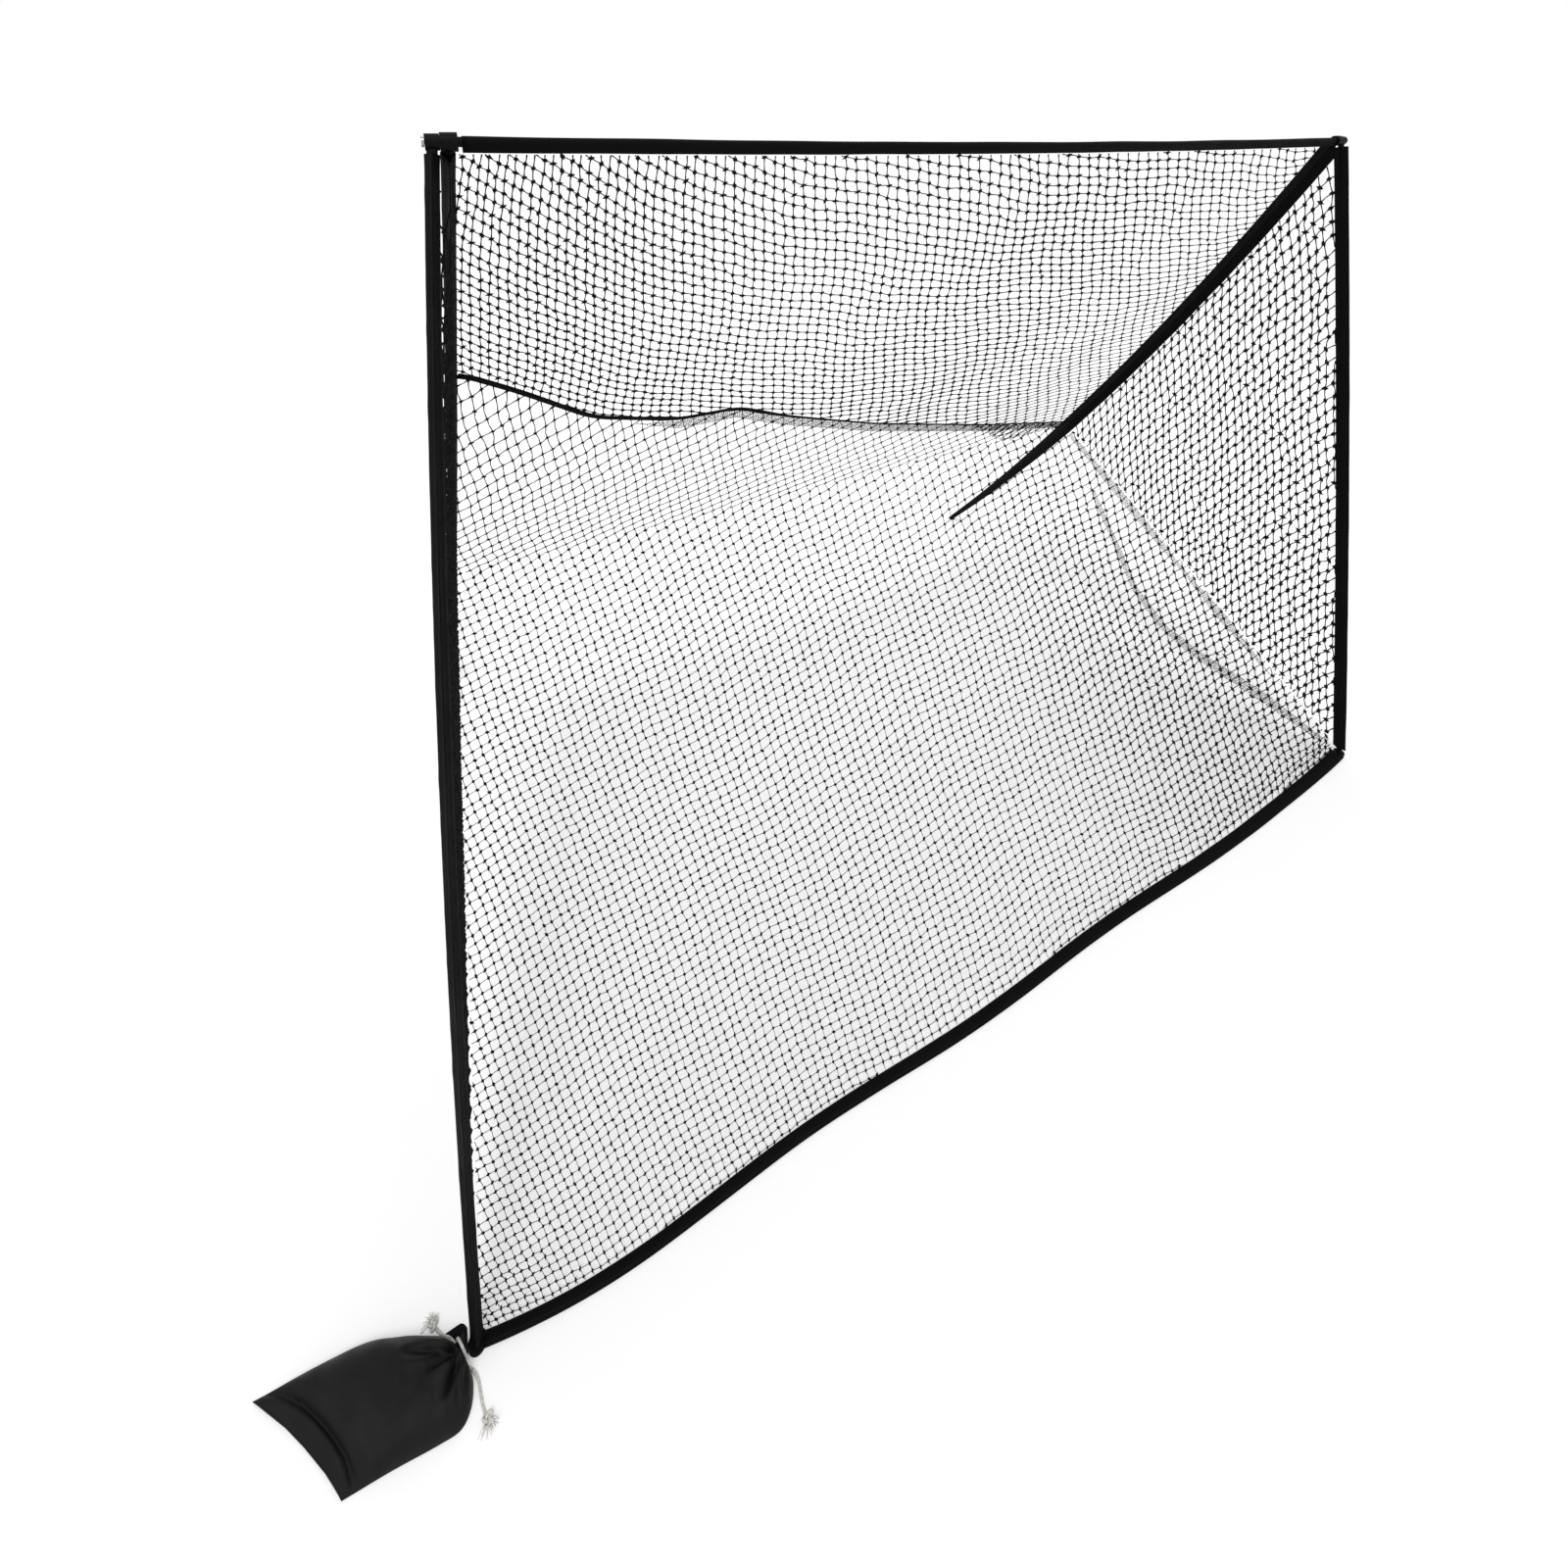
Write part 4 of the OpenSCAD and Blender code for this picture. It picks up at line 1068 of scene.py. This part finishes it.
# The mouth is drawn together in a neck of pleats and opens again in a small frill.
for share, radius in pouchLook["neck"]:
    middle = gather + (neckTip - gather) * share
    ring = []
    for k in range(count):
        angle = 2 * math.pi * k / count
        wave = 1 + 0.10 * math.sin(2 * pouchLook["pleats"] * angle + 1.5 * math.sin(3 * angle))
        ring.append(middle + radius * wave * (neckAside * math.cos(angle) + np.array([0, 0, math.sin(angle)])))
    rings.append(np.array(ring))
    # The gathered neck gets painted shade in its pleats.
    seamsAndCreaseShade.extend([0.35] * count)
rings = np.array(rings)
joining = pouchLook["joining"]
for i in range(along - joining, along):
    mix = ((i - (along - joining) + 1) / (joining + 1)) ** 1.6
    rings[i] = rings[i] * (1 - mix) + rings[along] * mix
rings[..., 2] = np.maximum(rings[..., 2], pouchLook["lowest"])
vertices = rings.reshape(-1, 3)
faces = ringFaces(len(rings), count)
faces.append(tuple(range(count)))
faces.append(tuple((len(rings) - 1) * count + k for k in range(count)))
pouch = addPiece("pouch_bag_cloth", vertices, faces, "satin", [(v[0], v[1]) for v in vertices])
faceOutward(pouch)
# The layer of dark seams and painted shade that the satin reads.
layer = pouch.data.attributes.new("seamsAndCreaseShade", "FLOAT", "POINT")
layer.data.foreach_set("value", seamsAndCreaseShade)


# The cloth swells a little under pressure, held at its base seam and its neck.
def swell(piece, look):
    start = np.array([v.co[:] for v in piece.data.vertices])
    share = np.repeat(np.arange(len(rings)) / (along - 1), count)
    held = piece.vertex_groups.new(name="held")
    for index, at in enumerate(share):
        if at < look["heldBase"] or at > look["heldNeck"] or start[index, 2] < look["heldLow"]:
            held.add([index], 1.0, "REPLACE")
    cloth = piece.modifiers.new("cloth", "CLOTH")
    cloth.settings.quality = 5
    cloth.settings.mass = 0.15
    cloth.settings.use_pressure = True
    cloth.settings.uniform_pressure_force = look["pressure"]
    cloth.settings.vertex_group_mass = "held"
    cloth.settings.effector_weights.gravity = 0
    cloth.point_cache.frame_end = look["frames"] + 2
    for step in range(1, look["frames"] + 1):
        scene.frame_set(step)
    shaped = piece.evaluated_get(bpy.context.evaluated_depsgraph_get())
    end = np.array([v.co[:] for v in shaped.data.vertices])
    piece.modifiers.remove(cloth)
    scene.frame_set(1)
    move = end - start
    long = np.linalg.norm(move, axis=1, keepdims=True)
    move = move * np.minimum(1, look["cap"] / np.maximum(long, 1e-9))
    end = start + move
    end[:, 2] = np.maximum(end[:, 2], look["lowest"])
    piece.data.vertices.foreach_set("co", end.ravel())
    piece.data.update()
    print("pouch swelled by up to", round(float(long.max()) * 1000, 1), "mm")


swell(pouch, pouchLook)
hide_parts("pouch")
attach(pouch, "pouch_bag")
print("pouch made")

# Drawstring
cordLook = {
    "diameter": 0.005, "twist": 0.014, "lobes": 3, "sides": 18, "lie": 0.0028, "loopRadius": 0.0140,
    "loopShare": 0.53, "loopShift": 0.0060, "loopTurn": (-65, 245), "knotSize": 0.0027, "knotCord": 0.0023, "frays": 18,
    "frayLength": (0.008, 0.015), "frayRadius": 0.0008, "knotSink": 0.002, "lowest": 0.0004,
}


# A twisted cord through the given points, with its line and its length.
def addCord(name, points, count):
    line = smoothLine(points, count)
    steps = stepsAlong(line)
    r = cordLook["diameter"] / 2

    def radius(i, a):
        lobe = abs(math.cos(cordLook["lobes"] / 2 * (a - 2 * math.pi * steps[i] / cordLook["twist"])))
        return r * (0.80 + 0.20 * lobe)

    vertices, faces = tubeMesh(line, cordLook["sides"], radius)
    piece = addPiece(name, vertices, faces, "cotton")
    faceOutward(piece)
    return piece, line, float(steps[-1])


loopAt, lie = gather + (neckTip - gather) * cordLook["loopShare"], cordLook["lie"]
aside, up = np.cross([0, 0, 1.0], neckDir), np.array([0, 0, 1.0])
loopPoints = []
turnFrom, turnTo = cordLook["loopTurn"]
for a in range(turnFrom, turnTo + 1, 10):
    turn = math.radians(a)
    ring = cordLook["loopRadius"] * (aside * math.cos(turn) + up * math.sin(turn))
    loopPoints.append(loopAt + ring + neckDir * cordLook["loopShift"] * (a - 90) / (turnTo - turnFrom))
backKnotAt, frontKnotAt = np.array([-1.4970, 0.0850, 0.0060]), np.array([-1.4150, -0.0680, 0.0060])
sink = [0, 0, cordLook["knotSink"]]
loop, _, _ = addCord("drawstring_loop", loopPoints, 90)
backTail, backPath, backLong = addCord(
    "drawstring_back_tail",
    [
        loopPoints[0], (-1.4680, 0.0520, 0.0064), (-1.4800, 0.0625, 0.0056), (-1.4880, 0.0730, lie),
        backKnotAt - sink,
    ],
    70,
)
frontTail, frontPath, frontLong = addCord(
    "drawstring_front_tail",
    [
        loopPoints[-1], (-1.4440, 0.0085, 0.0048), (-1.4330, -0.0030, lie), (-1.4265, -0.0180, lie),
        (-1.4235, -0.0380, lie), (-1.4200, -0.0550, lie), frontKnotAt - sink,
    ],
    100,
)


# An overhand knot with a frayed end.
def addKnot(name, centre, seed, heading):
    rng = np.random.default_rng(seed)
    turns = np.linspace(0, 2 * math.pi, 60)
    size = cordLook["knotSize"]
    tied = [np.sin(turns) + 2 * np.sin(2 * turns), np.cos(turns) - 2 * np.cos(2 * turns), -1.0 * np.sin(3 * turns)]
    line = size * np.stack(tied, -1) + centre + np.array([0, 0, 0.0012])

    def knotRadius(i, a):
        return cordLook["knotCord"] * (0.85 + 0.15 * abs(math.cos(1.5 * a + i * 0.5)))

    def frayRadius(i, a):
        return cordLook["frayRadius"] * (1 - 0.1 * i)

    vertices, faces = tubeMesh(line, 10, knotRadius)
    for _ in range(cordLook["frays"]):
        spread = rng.uniform(-1.2, 1.2) + math.atan2(heading[1], heading[0])
        turned = np.array([math.cos(spread), math.sin(spread), 0])
        long = rng.uniform(*cordLook["frayLength"])
        start = centre + turned * 0.005 + np.array([0, 0, rng.uniform(-0.003, 0.004)])
        middle = start + turned * long * 0.5 + np.array([0, 0, rng.uniform(-0.001, 0.004)])
        tip = start + turned * long + rng.uniform(-0.003, 0.001, 3)
        part, partFaces = tubeMesh(smoothLine([start, middle, tip], 6), 5, frayRadius)
        faces += [tuple(v + len(vertices) for v in f) for f in partFaces]
        vertices = list(vertices) + part
    vertices = [np.array([v[0], v[1], max(v[2], cordLook["lowest"])]) for v in vertices]
    piece = addPiece(name, vertices, faces, "cotton")
    faceOutward(piece)
    return piece


backKnotPiece = addKnot("drawstring_back_knot", backKnotAt, 5, (-0.5, 0.8))
frontKnotPiece = addKnot("drawstring_front_knot", frontKnotAt, 6, (0.2, -0.9))
for piece in (loop, backTail, frontTail, backKnotPiece, frontKnotPiece):
    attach(piece, "pouch_bag")
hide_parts("drawstring")
print("drawstring made")

# Floor and light
floorLook = {"size": 14.0, "glow": 0.25, "color": 0.86, "place": (0, 2, -0.0004)}
half = floorLook["size"] / 2
mesh = bpy.data.meshes.new("floor")
mesh.from_pydata([(-half, -half, 0), (half, -half, 0), (half, half, 0), (-half, half, 0)], [], [(0, 1, 2, 3)])
floor = bpy.data.objects.new("floor", mesh)
floor.location = floorLook["place"]
scene.collection.objects.link(floor)
s = Shader("floor_white")
value = floorLook["color"]
s.finish((value, value, value), 1.0, Specular_IOR_Level=0.0)
seen = s.node("LightPath").outputs["Is Camera Ray"]
s.bsdf.inputs["Emission Color"].default_value = (1, 1, 1, 1)
s.feed(s.bsdf.inputs["Emission Strength"], s.math("MULTIPLY", seen, floorLook["glow"]))
mesh.materials.append(s.material)

lightLook = {"world": 0.72, "sun": 0.95, "angle": 25, "tilt": (28, -14, 0)}
world = bpy.data.worlds.new("world")
scene.world = world
world.use_nodes = True
tree = world.node_tree
sky = tree.nodes["Background"]
sky.inputs[0].default_value = (1, 1, 1, 1)
sky.inputs[1].default_value = lightLook["world"]
plain = tree.nodes.new("ShaderNodeBackground")
plain.inputs[0].default_value = (1, 1, 1, 1)
plain.inputs[1].default_value = 1.0
paths = tree.nodes.new("ShaderNodeLightPath")
mix = tree.nodes.new("ShaderNodeMixShader")
tree.links.new(paths.outputs["Is Camera Ray"], mix.inputs[0])
tree.links.new(sky.outputs[0], mix.inputs[1])
tree.links.new(plain.outputs[0], mix.inputs[2])
tree.links.new(mix.outputs[0], tree.nodes["World Output"].inputs[0])
sunData = bpy.data.lights.new("sun", "SUN")
sunData.energy = lightLook["sun"]
sunData.angle = math.radians(lightLook["angle"])
sun = bpy.data.objects.new("sun", sunData)
sun.rotation_euler = tuple(math.radians(v) for v in lightLook["tilt"])
scene.collection.objects.link(sun)
